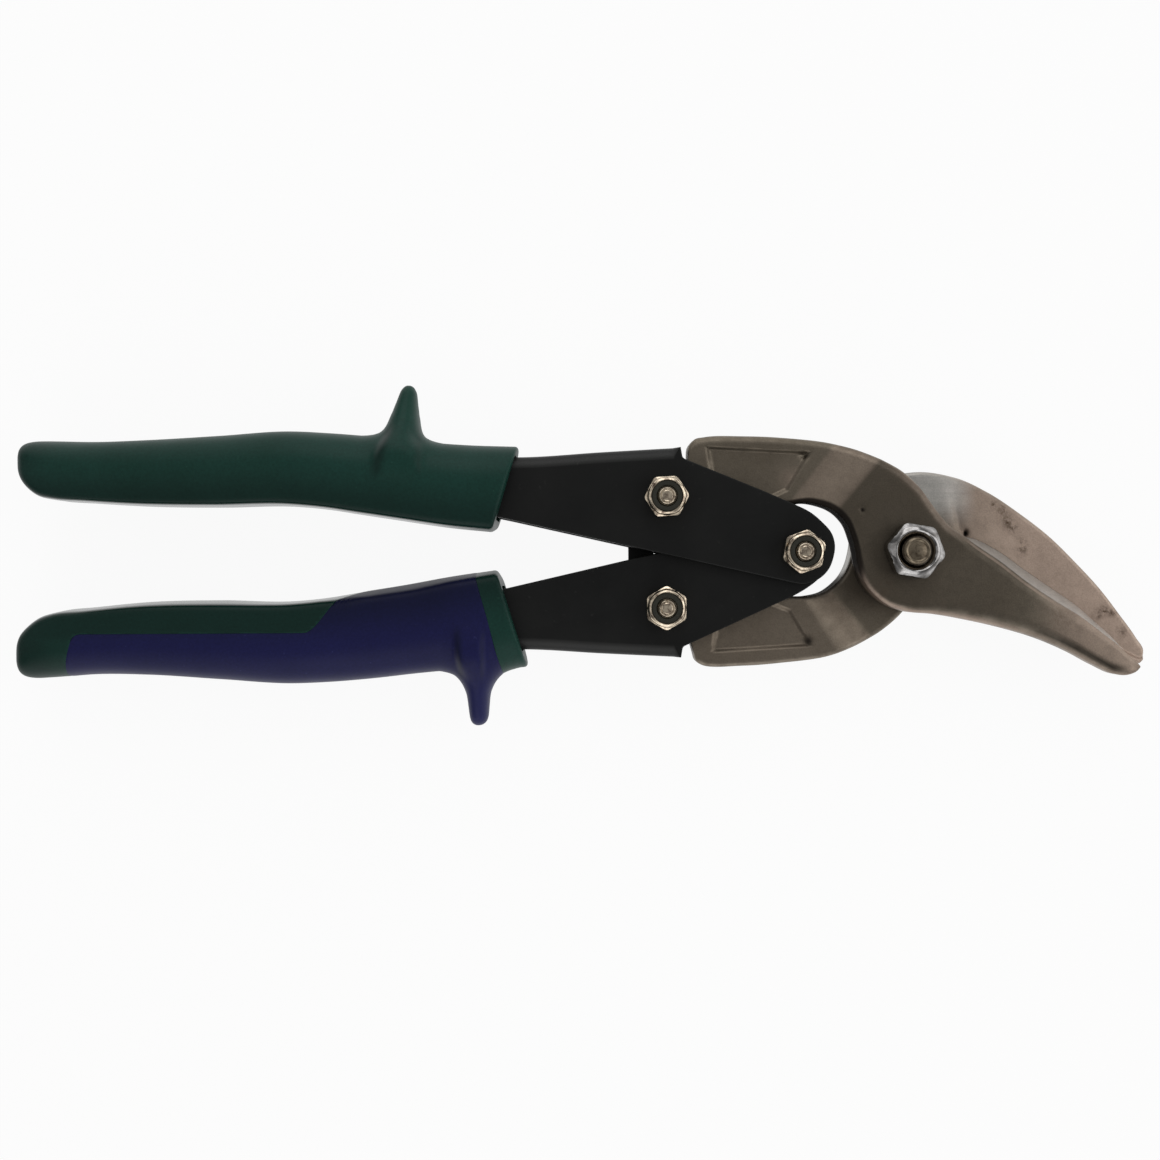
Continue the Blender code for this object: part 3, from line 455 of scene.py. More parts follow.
rearJaw = {
    "side": -1, "runs": [12, 3, 26, 4, 84], "paintedShadowSpot": (-11, -7.5), "panelEnd": (-21.6, -19.2),
    "panelCornerShade": (-21.6, -19.7), "dent": (13.9, 4.0), "dentSize": (0.42, 0.75), "crease": (13.3, 4.0),
    "creaseLean": 0.20, "wearAndSheen": (0.8, 0.5, 0.1, 0.5, 0.7),
    "tailOuter": [(-48.2, -18.4), (-47.1, -21.8), (-46.6, -23.6), (-45.3, -24.7), (-35.9, -25.0),
                  (-28.0, -24.45)],
    "archReach": [9.85, 9.85, 10.6, 11.2, 11.8],
    "archOuter": [(-17.7, -23.1), (-12.3, -21.3), (-8.5, -19.6), (-5.2, -17.7), (-1.3, -14.5)],
    "hubOuter": [(1.8, -10.8), (3.6, -8.0), (5.4, -5.4), (7.6, -2.9), (10.0, -1.0), (12.6, 0.2)],
    "hubAngles": [172, 153, 137, 118, 99, 79], "hubReach": [0.92, 1.0, 1.1, 1.22, 1.38, 1.485],
    "edge": [(15.8, 0.3), (20.5, -2.4), (26.0, -5.9), (31.5, -9.8), (37.0, -14.0), (42.0, -18.2),
             (46.5, -22.0), (49.9, -24.4), (51.6, -25.1), (52.3, -24.95)],
    "back": [(11.3, 16.6), (18.9, 13.25), (26.0, 8.6), (32.65, 3.4), (38.5, -2.4), (44.05, -8.5),
             (48.35, -14.2), (51.95, -19.3), (53.6, -22.3), (53.3, -23.9)],
    "bevel": [0.05, 0.05, 0.05, 0.05, 0.6, 1.2, 1.6, 2.0, 2.0, 2.0, 2.0, 1.6, 1.2, 0.8, 0.3, 0.1],
    "shoulder": [0.9, 0.9, 0.9, 0.9, 0.9, 0.9, 1.0, 1.2, 1.2, 1.2, 1.0, 0.9, 0.7, 0.5, 0.3, 0.1],
    "backRound": [0.8, 0.8, 0.8, 0.8, 0.8, 0.8, 0.8, 0.9, 0.9, 0.9, 0.8, 0.8, 0.7, 0.5, 0.4, 0.2],
    "panel": [(-43.3, -22.3), (-20.3, -21.0), (-25.4, -12.4), (-41.4, -6.0)], "ramp": (-15.7, 0.64),
    "rust": [(20.4, 10.4, 1.0, 1), (22.1, 9.1, 1.1, 1), (23.3, 6.8, 1.2, 1), (24.3, 5.2, 1.1, 1),
             (26.7, 1.9, 0.9, 1), (26.7, 0.4, 0.9, 1), (43.0, -14.4, 1.0, 1), (44.7, -13.4, 1.1, 1),
             (46.8, -14.0, 1.0, 1), (48.8, -18.2, 0.9, 1)]}


def sunkPanel(x, y, corners):
    # a hollow with soft walls, by how far a point lies inside every side of the panel
    corners = np.asarray(corners, float)
    side = np.roll(corners, -1, axis=0) - corners
    normal = unit(np.stack([-side[:, 1], side[:, 0]], axis=1))
    offsets = [(x - c[0]) * n[0] + (y - c[1]) * n[1] for c, n in zip(corners, normal)]
    return ease(0, jawSet["panelWall"], np.min(offsets, axis=0))


def joggle(jaw, x, y):                    # 0 on the tail, 1 on the hub, sloping between two slanted lines
    start, slant = jaw["ramp"]
    hubX, hubY = jawSet["rampHub"]
    first = x - start - (y - jawSet["rampTail"]) * slant
    second = x - hubX - (y - hubY) * jawSet["rampSlant"]
    climb = np.clip(first / (first - second), 0, 1)
    return 0.5 * climb + 0.5 * ease(0, 1, climb)


def jawPoints(jaw, link):
    # a section spans each pair of edge points: outer side leaning by the bevel, shoulder, face, rounded
    # back and underside; its height lies between two levels that climb at the joggle and thin to the tip
    side, stations = jaw["side"], jawSet["stations"]
    nose = side * np.array(tail["noseAngles"])
    arch = polar(handlePivot, np.array(jaw["archReach"]), side * np.array(jawSet["archAngles"]))
    hub = polar(jawPivot, jawSet["hubRadius"] * np.array(jaw["hubReach"]), jaw["hubAngles"])
    outer = np.concatenate([polar(link, tail["noseRadius"], nose), jaw["tailOuter"], jaw["archOuter"],
                            jaw["hubOuter"], jaw["edge"]])
    inner = np.concatenate([polar(link, tail["noseRadius"], -nose), np.array(tail["inner"]) * (1, side),
                            arch, hub, jaw["back"]])
    plain = len(outer) - len(jaw["bevel"])
    uncut = len(outer) - len(jaw["edge"])
    bevel = np.concatenate([np.full(plain, 0.05), jaw["bevel"]])
    shoulder = np.concatenate([np.full(plain, 1.2), jaw["shoulder"]])
    backRound = np.concatenate([np.full(plain - 5, 0.8), np.full(5, 0.7), jaw["backRound"]])
    share = np.concatenate([np.zeros(uncut), np.linspace(0.1, 1.0, len(jaw["edge"]) - 1), [1.0]])
    onBlade = np.concatenate([np.zeros(uncut - 1), [0.5], np.ones(len(jaw["edge"]))])

    step = (np.linalg.norm(np.diff(outer, axis=0), axis=1)
            + np.linalg.norm(np.diff(inner, axis=0), axis=1)) / 2
    keys = np.concatenate([[0], np.cumsum(step)])
    at = np.linspace(0, keys[-1], stations)
    o, i = smoothThrough(keys, outer, at), smoothThrough(keys, inner, at)
    bevel, shoulder, backRound, share, onBlade = (np.clip(smoothThrough(keys, v, at), 0.02, None)
                                                  for v in (bevel, shoulder, backRound, share, onBlade))
    onBlade = np.minimum(onBlade, 1)
    width = np.linalg.norm(i - o, axis=1)
    bevel = np.minimum(bevel, 0.3 * width)
    shoulder = np.minimum(shoulder, 0.25 * width)
    backRound = np.minimum(backRound, 0.35 * width)
    drop = np.minimum(0.65 - 0.37 * onBlade, shoulder)
    zero = np.zeros(stations)
    full = np.full(stations, jawSet["thick"])
    across = np.stack([zero, bevel, bevel + shoulder, width, width], axis=1)
    height = np.stack([zero, full - drop, full, full, zero], axis=1)
    soft = np.minimum(0.45 * np.hypot(shoulder, drop), 1.1)
    crisp = soft * (1 - 0.8 * onBlade)
    # the rear jaw shows its underside
    edgeRound, backCorner = (0.65, 0.7) if side > 0 else (0.95, 1.1)
    lowRound = np.minimum(0.25 * width, 0.15 + edgeRound * (1 - onBlade))
    lowBack = np.minimum(0.25 * width, backCorner)
    takeOff = np.stack([lowRound, crisp, soft, backRound, lowBack], axis=1)
    loop, bend, stretch = roundedLoop(np.stack([across, height], axis=2), takeOff, jaw["runs"])
    back = loop[..., 0]
    plan = o[:, None] + (i - o)[:, None] * (loop[..., :1] / width[:, None, None])
    x, y = plan[..., 0], plan[..., 1]
    rise = loop[..., 1] / jawSet["thick"]
    climb = joggle(jaw, x, y * side)
    low = jawSet["tailLow"] + (jawSet["hubLow"] - jawSet["tailLow"]) * climb
    hubHigh = jawSet["hubHigh"] - jawSet["thinning"] * share[:, None]
    high = jawSet["tailHigh"] + (hubHigh - jawSet["tailHigh"]) * climb
    z = low + rise * (high - low)
    return x, y, z, rise, back, width[:, None] - back, bend, stretch, onBlade[:, None]


def edgeWearAndSheen(bend, stretch, amounts):     # how much each of a section's five rounded corners is made paler: rubbed wear and painted highlight
    corner = np.clip(-1 - stretch, 0, 4)
    return (bend * np.array(amounts)[corner])[None, :]


def onStretch(stretch, *chosen):          # 1 on the chosen stretches of a section, else 0
    return (np.isin(stretch, chosen) * 1.0)[None, :]


def rustMarks(jaw, x, y):                 # spots of x, y, size and amount
    return sum(amount * spot(x, y, (a, b), size) for a, b, size, amount in jaw["rust"])


def makeJaw(name, body, jaw, grid, marks, bend, stretch, linkBore):
    marks["wearAndSheen"] = edgeWearAndSheen(bend, stretch, jaw["wearAndSheen"])
    marks["rust"] = rustMarks(jaw, grid[..., 0], grid[..., 1])
    piece = surface(name, grid, marks=marks)
    cutAway(piece, drill(jawPivot, jawSet["pivotHole"]), drill(*linkBore))
    fit(piece, body, body, forgedSteel)


def makeFrontJaw():
    x, y, z, rise, back, fromBack, bend, stretch, blade = jawPoints(frontJaw, upperLink)
    face = ease(0.8, 1.0, rise)
    hollow = sunkPanel(x, y, frontJaw["panel"]) * ease(0.6, 1.0, rise)
    pit = spot(x, y, frontJaw["pit"], 0.45) * face                         # a pit in the forging
    groove = bell(fromBack - 1.35, 0.75) * ease(18.0, 30.0, x)             # a shallow groove inside the back, with a painted dark line of shade along it
    groove = groove * ease(48.5, 44.0, x) * ease(0.6, 0.9, rise)
    z = z - jawSet["panelDeep"] * hollow
    z = z - 0.5 * spot(x, y, frontJaw["panelEnd"], 0.9) * face             # deeper at the panel's end
    z = z - 0.4 * pit
    z = z + 1.1 * blade * ease(2.6, 4.0, back) * ease(0.35, 0.0, rise)     # hollow under the blade
    z = z - 0.12 * groove

    slope = joggle(frontJaw, x, y)
    fromPivot = np.hypot(x - handlePivot[0], y)
    groundAndSheen = 0.75 * onStretch(stretch, 0) * ease(12.6, 13.4, x)
    # painted shade: darker in the panel's top wall, along the groove and on the sloping shoulder; the hub
    # darker in tone
    wallTop = 4 * hollow * (1 - hollow) * ease(19.5, 21.0, y)
    shoulder = ease(1.8, 0.6, back) * ease(0.0, 0.2, slope) * ease(1.0, 0.95, slope)
    hubShade = 0.64 * ease(0.86, 1.0, slope) * (1 - ease(16.0, 36.0, x))
    hubShade = most(hubShade, 0.8 * wallTop, groove, 0.5 * shoulder)
    # painted light: paler on the sloping ramp and on the panel's lit lower right
    onRamp = ease(0.0, 0.06, slope) * ease(1.0, 0.94, slope) * (x < 0)
    honedAndSheen = 0.46 * ease(25, 38, x) * (1 - groove) + 0.20 * onRamp
    honedAndSheen = honedAndSheen + 0.28 * spot(x, y, frontJaw["panelLight"], 2.6) * hollow
    # painted highlight along the rounded back rim of the hub and blade
    rim = ease(1.1, 0.3, fromBack) * ease(-13.0, -9.0, x) * ease(0.3, 0.6, rise)
    rim = rim * (1 - 0.6 * ease(15.0, 30.0, x))
    # painted highlight: a paler band beside the cutting edge, where its rounded chamfer would catch the
    # light
    paintedEdgeSheen = ease(2.6, 0.5, back) * ease(-8.0, 0.0, x) * ease(0.6, 0.8, rise)
    honedAndSheen = most(honedAndSheen, 0.26 * paintedEdgeSheen, 0.75 * rim, 0.35 * onStretch(stretch, 1) * blade)
    # painted shade: near-black on the inner wall and rim round the arch, in the pit and along the groove
    archRim = ease(1.7, 0.9, fromBack) * ease(15.5, 13.0, fromPivot) * ease(0.5, 0.8, rise)
    paintedShade = onStretch(stretch, 3) * ease(16.0, 11.5, fromPivot) + pit
    paintedShade = most(paintedShade, 0.5 * groove * ease(26.0, 36.0, x), 0.88 * archRim)
    marks = {"groundAndSheen": groundAndSheen, "honedAndSheen": honedAndSheen, "hub": hubShade, "paintedShade": paintedShade}
    grid = np.stack([x, y, midZ + z], axis=2)
    bore = (upperLink, jawSet["looseHole"])
    makeJaw("frontJawForging", "front_jaw", frontJaw, grid, marks, bend, stretch, bore)


def makeRearJaw():
    x, y, z, rise, back, fromBack, bend, stretch = jawPoints(rearJaw, lowerLink)[:-1]
    # on the underside, turned to the front
    facing = ease(0.4, 0.0, rise)
    inside = ease(0.8, 1.8, back)
    sunk = sunkPanel(x, y, rearJaw["panel"]) * facing
    foldX, foldY = rearJaw["crease"]
    creaseX = foldX - rearJaw["creaseLean"] * (y - foldY)     # a soft fold, deeper towards the edge
    fold = 0.18 * bell(x - creaseX + 0.5, 0.8) * ease(14.0, 5.0, y)
    hollow = 0.16 * ease(creaseX - 3.0, creaseX + 1.0, x) + 0.84 * ease(creaseX, creaseX + 16.0, x)
    (dentX, dentY), (dentWide, dentTall) = rearJaw["dent"], rearJaw["dentSize"]
    dent = bell(np.hypot((x - dentX) / dentWide, (y - dentY) / dentTall), 1.0) * facing * inside
    z = z + jawSet["panelDeep"] * sunk
    z = z + (hollow + fold) * inside * facing + 0.9 * dent

    slope = joggle(rearJaw, x, -y)
    # painted shadow: a dark line just left of the fold, where the pale colours are taken away
    crease = 0.6 * bell(x - creaseX + 1.1, 0.5) * ease(14.5, 6.0, y) * ease(0.0, 3.0, y) * facing
    groundAndSheen = 0.60 * ease(17.0, 10.5, x) * ease(-3.0, 4.0, x + y * 0.3) * ease(4.0, 12.5, y) * facing
    groundAndSheen = groundAndSheen * onStretch(stretch, 4, -5) * (1 - crease)
    # painted highlight: the wall beside the arch made pale, as if it caught the light
    paintedWallHighlight = ease(-7.0, -3.0, y) * onStretch(stretch, 3) * ease(-6.0, -9.0, x)
    groundAndSheen = np.maximum(groundAndSheen, 0.6 * paintedWallHighlight)
    honedAndSheen = ease(6.0, 14.0, x) * (0.55 + 0.34 * ease(17, 34, x)) * facing
    # painted light: paler on the sloping ramp
    honedAndSheen = honedAndSheen + (0.08 + 0.03 * ease(0.0, 0.3, slope)) * ease(1.0, 0.9, slope) * (x < 0)
    honedAndSheen = honedAndSheen * (1 - crease)
    # painted shade: a dark spot near the crescent, in the panel's deep corner and along its right wall
    panelEnd = sunk * (1 - sunk) * ease(-27.0, -23.5, x)
    hubShade = 0.8 * spot(x, y, rearJaw["paintedShadowSpot"], 6.0)
    hubShade = most(hubShade, spot(x, y, rearJaw["panelEnd"], 1.0), 2.6 * panelEnd)
    # painted shade: near-black on the wall round the arch and the face beside it, in the dent and in the
    # panel's deep corner
    nearArch = ease(15.5, 12.5, np.hypot(x - handlePivot[0], y))
    arched = most(0.9 * onStretch(stretch, 3), 0.6 * ease(0.9, 0.3, fromBack) * facing) * nearArch
    paintedShade = most(1.4 * dent, arched * (1 - ease(-8.0, -4.0, y)))
    paintedShade = most(paintedShade, 0.75 * spot(x, y, rearJaw["panelCornerShade"], 0.9) * facing)
    marks = {"groundAndSheen": groundAndSheen, "honedAndSheen": honedAndSheen, "hub": hubShade, "paintedShade": paintedShade}
    grid = np.stack([x, y, midZ - z], axis=2)
    makeJaw("rearJawForging", "rear_jaw", rearJaw, grid, marks, bend, stretch, (lowerLink, linkHole))


makeFrontJaw()
makeRearJaw()
print("jaws made")


# Handles: a stamped channel, rolled over along the outer edge
handle = {
    "outerEdge": [(-165.0, 21.6), (-135.0, 23.2), (-110.0, 22.1), (-83.1, 21.1), (-67.4, 22.05),
                  (-49.9, 22.95)],
    "shoulder": [(-49.9, 22.95), (-49.5, 20.6), (-48.2, 20.0)],
    "upperEnd": [(-33.0, 13.75), (-28.4, 11.75), (-24.9, 10.2), (-21.8, 8.6), (-19.4, 6.6), (-17.1, 3.8),
                 (-16.5, 1.3)],
    "lowerEnd": [(-33.0, 13.1), (-28.4, 11.0), (-24.6, 9.25), (-22.3, 7.9), (-20.1, 6.25), (-17.9, 3.9),
                 (-16.9, 1.4)],
    "innerEdge": [(-89.7, 7.95), (-103.0, 10.1), (-127.0, 13.6), (-165.0, 14.4)],
    "endRadius": 6.95, "endAngles": [-12, -32, -52, -72, -90, -104], "bendRadius": 2.4, "rim": 0.3,
    "slot": [(-62.5, -8.2), (-50.7, -8.2), (-50.7, -3.6), (-53.4, -3.6), (-53.4, 4.0), (-62.5, 4.0)]}


def outerEdgePoints(count):
    edge = np.array(handle["outerEdge"])
    along = np.linspace(edge[0, 0], edge[-1, 0], count)
    return np.stack([along, smoothThrough(edge[:, 0], edge[:, 1], along)], axis=1)


def handleOutline(side):
    # clockwise from the tang along the outer edge, and the rim radius there
    outer = outerEdgePoints(70)
    line = handle["upperEnd"] if side > 0 else handle["lowerEnd"]
    shoulder = roundedPath(handle["shoulder"] + line[:1], [0, 0.5, 0.5, 0])[1:]
    line = np.concatenate([line, polar(handlePivot, handle["endRadius"], handle["endAngles"])])
    keys = lengthsAlong(line)
    end = smoothThrough(keys, line, np.linspace(0, keys[-1], 90))[1:]
    inner = roundedPath([tuple(end[-1])] + handle["innerEdge"], 3.0)[1:]
    outline = np.concatenate([outer, shoulder, end, inner])
    radius = np.full(len(outline), handle["rim"])
    radius[:len(outer) - 1] = handle["bendRadius"]
    return outline, radius


def makeHandle(name, side, body, link):
    level = midZ + side * stagger
    half = channel / 2 + sheet
    outline, radius = handleOutline(side)
    grid = platePress(outline * (1, side), level - half, level + half, radius)
    # painted highlight along the rolled outer edge
    rolled = (radius > 1.0)[None, :] * bell(np.linspace(-1, 1, len(grid))[:, None] ** 2 - 0.5, 0.3)
    piece = surface(name, grid, marks={"wearAndSheen": rolled})
    under = outerEdgePoints(40) - (0, sheet)
    room = np.concatenate([[(-205, under[0, 1])], under, [(-49.9, 60), (40, 60), (40, -60), (-205, -60)]])
    cutAway(piece, prism("room", room * (1, side), level - channel / 2, level + channel / 2))
    cutAway(piece, drill(handlePivot, linkHole), drill(link, linkHole))
    if side < 0:                          # mouth and undercut that the latch's hook drops into
        cutAway(piece, prism("slot", handle["slot"], level - half - 2, level - channel / 2 + gap))
    fit(piece, body, body, blackedSteel)


makeHandle("upperHandleStamping", 1, "upper_handle", upperLink)
makeHandle("lowerHandleStamping", -1, "lower_handle", lowerLink)
print("handles made")


# Grips: rounded sections from the butt to the leaning front end, a guard fin raised on the outer side
upperGrip = {
    "side": 1, "level": midZ + stagger, "halfZ": 10.1, "lean": 0.31, "leanFrom": -135.0,
    "wallLean": [(-196, 0.3), (-182, 0.6), (-150, 0.7), (-120, 0.8), (-86, 1.0)],
    "topLean": [(-130, 0.15), (-115, 0.3)],    # share of that lean above the middle
    "rows": [(-194.0, 21.8, 20.0, 0.02), (-193.9, 23.2, 19.0, 0.35), (-193.65, 24.1, 18.0, 0.58),
             (-193.1, 24.75, 16.8, 0.76), (-192.2, 25.1, 15.4, 0.88), (-190.9, 25.3, 14.1, 0.95),
             (-188.8, 25.35, 12.8, 0.985), (-185.5, 25.3, 12.15, 1.0), (-178.9, 25.15, 11.65, 1.0),
             (-166.9, 25.5, 10.9, 1.0), (-151.0, 26.35, 10.6, 1.0), (-135.0, 27.25, 10.7, 1.0),
             (-127.1, 26.8, 10.0, 1.0), (-119.1, 26.1, 8.8, 1.0), (-109.0, 24.9, 7.3, 1.0),
             (-98.5, 24.0, 5.8, 1.0), (-88.2, 23.6, 4.8, 1.0)],
    "fin": {"x": -111.12, "station": -112.6, "deep": 2.1, "tilt": 0.15, "skew": 0.04,
            "reach": [0, 0.4, 0.8, 1.35, 1.75, 1.98, 2.18, 2.38, 2.6, 2.8, 3.08, 3.3, 3.56, 3.96, 4.7,
                      5.7, 7.2, 9.0],
            "height": [12.0, 11.96, 11.8, 11.2, 10.4, 9.5, 8.6, 7.75, 6.9, 6.0, 5.1, 4.2, 3.3, 2.3, 1.3,
                       0.7, 0.25, 0],
            "rib": 2.5, "ribX": -110.7, "ribWide": 4.6, "ribLean": 0.1, "ribSpread": 0.15}}
lowerGrip = {
    "side": -1, "level": midZ - stagger, "halfZ": 10.1, "lean": 0.31, "leanFrom": -135.7,
    "wallLean": [(-196, 0.3), (-182, 0.9), (-150, 1.0), (-120, 1.3), (-86, 2.0)],
    "topLean": [(-150, 0.9), (-140, 0.55), (-128, 0.55), (-120, 1.0), (-106, 1.0), (-98, 0.7),
                (-88, 0.5)],
    "rows": [(-195.5, 24.0, 20.8, 0.02), (-195.4, 25.3, 19.7, 0.35), (-195.15, 26.0, 18.7, 0.58),
             (-194.5, 26.5, 17.4, 0.76), (-193.6, 26.8, 16.0, 0.88), (-192.1, 26.95, 14.5, 0.95),
             (-189.8, 26.85, 13.0, 0.985), (-186.5, 26.65, 12.0, 1.0), (-179.8, 26.15, 11.3, 1.0),
             (-167.7, 26.3, 10.2, 1.0), (-151.5, 27.4, 9.9, 1.0), (-135.7, 28.4, 10.2, 1.0),
             (-127.6, 28.1, 9.5, 1.0), (-119.6, 27.45, 8.3, 1.0), (-109.0, 26.25, 6.75, 1.0),
             (-98.0, 25.3, 4.95, 1.0), (-87.0, 25.1, 3.5, 1.0)],
    "fin": {"x": -94.95, "station": -97.7, "deep": 2.2, "tilt": 0.03, "skew": 0.10,
            "reach": [0, 0.5, 0.95, 1.5, 1.86, 2.1, 2.22, 2.33, 2.44, 2.6, 2.96, 3.45, 4.15, 5.2, 6.4,
                      7.6, 9.0, 10],
            "height": [12.7, 12.68, 12.5, 12.05, 11.4, 10.35, 9.25, 8.15, 7.05, 5.95, 4.75, 3.65, 2.55,
                       1.45, 0.8, 0.4, 0.05, 0],
            "rib": 2.6, "ribX": -95.9, "ribWide": 2.9, "ribLean": 0.0, "ribSpread": 0.05}}
section = {"outerPower": 2.3, "innerPower": 12.0, "buttPower": 4.2, "across": 8.0, "up": 10.0,
           "buttEnd": -186.0, "leanTo": -87.5, "finPower": 2.4, "ribPower": 6, "ribLevel": 22, "rim": 0.9}


def sectionShape(turn, innerPower=section["innerPower"]):
    # superellipse in the direction turn, as shares of its half widths: 0 is outside, pi inside
    power = np.where(np.cos(turn) > 0, section["outerPower"], innerPower)
    across, up = np.abs(np.cos(turn)) / section["across"], np.sin(turn) / section["up"]
    reach = (across**power + np.abs(up) ** power) ** (-1 / power)
    return reach * across, reach * up


def sectionTurn(phi):
    # direction for an even share of a section's length, phi from -1 to 1
    turn = np.linspace(-np.pi, np.pi, 4001)
    c, s = sectionShape(turn)
    step = np.hypot(np.diff(c) * section["across"], np.diff(s) * section["up"])
    length = np.concatenate([[0], np.cumsum(step)])
    return np.interp(phi, 2 * length / length[-1] - 1, turn)


def rowLengths(grip):
    return lengthsAlong(np.array(grip["rows"]) * (1, 1, 1, grip["halfZ"]))


def ribAside(f, x, y):                    # place across the rib: 0 on its middle, 1 at its foot
    up = y - section["ribLevel"]
    return (x - f["ribX"] - f["ribLean"] * up) / (f["ribWide"] - f["ribSpread"] * up)


def gripPoints(grip, at, phi, finTop=20.0):
    # superellipse, fuller power on the flat inner half whose wall leans in; leaning stations towards the
    # front; the fin adds a height read from its list by an oval distance from its middle, at most finTop,
    # and a rib runs down the face
    at = at if at.ndim > 1 else at[:, None]
    values = smoothThrough(rowLengths(grip), np.array(grip["rows"]), at)
    station, outer, inner, share = np.moveaxis(values, -1, 0)
    share = np.clip(share, 0.0, 1.0)
    half, mid = (outer - inner) / 2, (outer + inner) / 2
    halfZ = grip["halfZ"] * share
    turn = sectionTurn(phi)
    full = ease(-193.0, -181.0, station)
    power = section["buttPower"] + (section["innerPower"] - section["buttPower"]) * full
    c, s = sectionShape(turn, power)
    topLean = np.interp(station, *np.array(grip["topLean"]).T)
    wallLean = np.interp(station, *np.array(grip["wallLean"]).T) * share * np.where(s > 0, topLean, 1.0)
    a = np.where(np.cos(turn) > 0, half * c, -half * c + wallLean * c * np.abs(s) ** 1.3)
    b = halfZ * s
    ahead = (station - grip["leanFrom"]) / (section["leanTo"] - grip["leanFrom"])
    lean = grip["lean"] * np.clip(ahead, 0, 1)
    x = station + lean * a
    y = mid + a
    if finTop:
        f = grip["fin"]
        fromFin = (x - f["x"]) * (1 - f["skew"] * np.tanh((x - f["x"]) / 3.0))
        power = section["finPower"]
        reach = (np.abs(fromFin) ** power + np.abs(b / f["deep"]) ** power) ** (1 / power)
        height = smoothThrough(f["reach"], f["height"], np.minimum(reach, f["reach"][-1]))
        height = np.minimum(height, finTop) * ease(0.0, 0.6, a / half)
        rib = f["rib"] * np.exp(-np.abs(ribAside(f, x, y)) ** section["ribPower"])
        rib = rib * np.where(b > 0, 1.0, -0.12)
        b = b + rib * ease(13.5, 25.0, y) * ease(0.6, 0.95, np.abs(s))
        y = y + height
        x = x + f["tilt"] * height
    return np.stack([x, grip["side"] * y, grip["level"] + b], axis=2)


def gripStations(grip, start, stop):      # close together round the butt and the fin
    f = grip["fin"]["station"]
    rows, lengths = np.array(grip["rows"]), rowLengths(grip)
    near = np.concatenate([np.linspace(1.2, 3.4, 24), np.linspace(3.6, 9.0, 22)])
    near = np.concatenate([f - near[::-1], f + np.linspace(-1.1, 1.1, 9), f + near])
    parts = [near[near < stop - 0.4], np.linspace(max(start, section["buttEnd"]), f - 9.3, 76)]
    after = stop - max(near[near < stop - 0.4])
    parts.append(np.linspace(stop - after + 0.2, stop, max(2, int(after / 0.5))))
    along = np.sort(np.interp(np.concatenate(parts), rows[:, 0], lengths))
    if start < -190:
        butt = np.interp(section["buttEnd"], rows[:, 0], lengths)
        along = np.concatenate([butt * np.linspace(0, 1, 34, endpoint=False) ** 1.3, along])
    return along


def rimmed(grid, radius, count=6):
    # rolls the last ring in: out by sine, in towards its middle by 1 - cosine
    last, ahead = grid[-1], unit(grid[-1] - grid[-2])
    inward = unit(last.mean(axis=0) - last)
    turn = np.linspace(0, np.pi / 2, count + 1)[1:, None, None]
    roll = last + radius * (np.sin(turn) * ahead + (1 - np.cos(turn)) * inward)
    flat = roll[-1:] + 0.4 * inward
    return np.concatenate([grid, roll, flat])


def tangPocket(side):
    # the tang's outline with a little room, drawn out past the front end
    outer = outerEdgePoints(40) + (0, gap)
    outer = outer[outer[:, 0] < -75]
    inner = np.array([(-75.0, 4.1), (-89.7, 7.2), (-103.0, 9.6), (-127.0, 13.3), (-165.3, 14.1),
                      (-165.3, 21.9)])
    level = midZ + side * stagger
    half = channel / 2 + sheet + gap
    outline = np.concatenate([outer, [(-75.0, 21.8)], inner]) * (1, side)
    return prism("tang", outline, level - half, level + half)


ringShares = (np.arange(144) + 0.5) / 72 - 1


def gripMarks(grip, grid):                # painted shade on the inner half, at the butt and along the rib's foot; painted light on the fin
    rows = np.array(grip["rows"])
    x, y = grid[..., 0], np.abs(grid[..., 1])
    inner, outer = np.interp(x, rows[:, 0], rows[:, 2]), np.interp(x, rows[:, 0], rows[:, 1])
    share = (y - inner) / (outer - inner)
    shade = np.maximum(ease(0.60, 0.10, share), 0.6 * ease(-183.0, -192.0, x))
    aside = ribAside(grip["fin"], x, y)
    flank = bell(aside + 0.80, 0.26) + 0.5 * bell(aside - 0.92, 0.14)      # shade along the rib's foot
    shade = np.maximum(shade, np.minimum(flank, 1) * ease(13.5, 20.0, y) * ease(29.0, 25.5, y))
    return {"shade": shade, "wearAndSheen": 0.35 * ease(1.02, 1.35, share)}


def wallMark(phi, x):                     # 1 on the flat inner wall, less towards the front
    turn = sectionTurn(phi)
    flat = ease(-0.2, -0.5, np.cos(turn)) * ease(0.985, 0.92, np.abs(sectionShape(turn)[1]))
    return flat[None, :] * (1 - 0.8 * ease(-106.0, -92.0, x))


def makeUpperGrip():
    grid = gripPoints(upperGrip, gripStations(upperGrip, -196, -88.9), ringShares)
    grid = rimmed(grid, section["rim"])
    marks = {**gripMarks(upperGrip, grid), "wall": wallMark(ringShares, grid[..., 0])}
    piece = surface("upperGripMoulding", grid, marks=marks)
    cutAway(piece, tangPocket(1))
    fit(piece, "upper_handle", "upper_grip", greenRubber)


skin = {"back": -182.0, "front": -91.9, "line": 17.0, "cornerRadius": 2.2, "slant": 2.8,
        "swingFrom": -131.6, "swingTo": -123.6, "wall": 1.2, "proud": 0.05, "lip": 0.30}


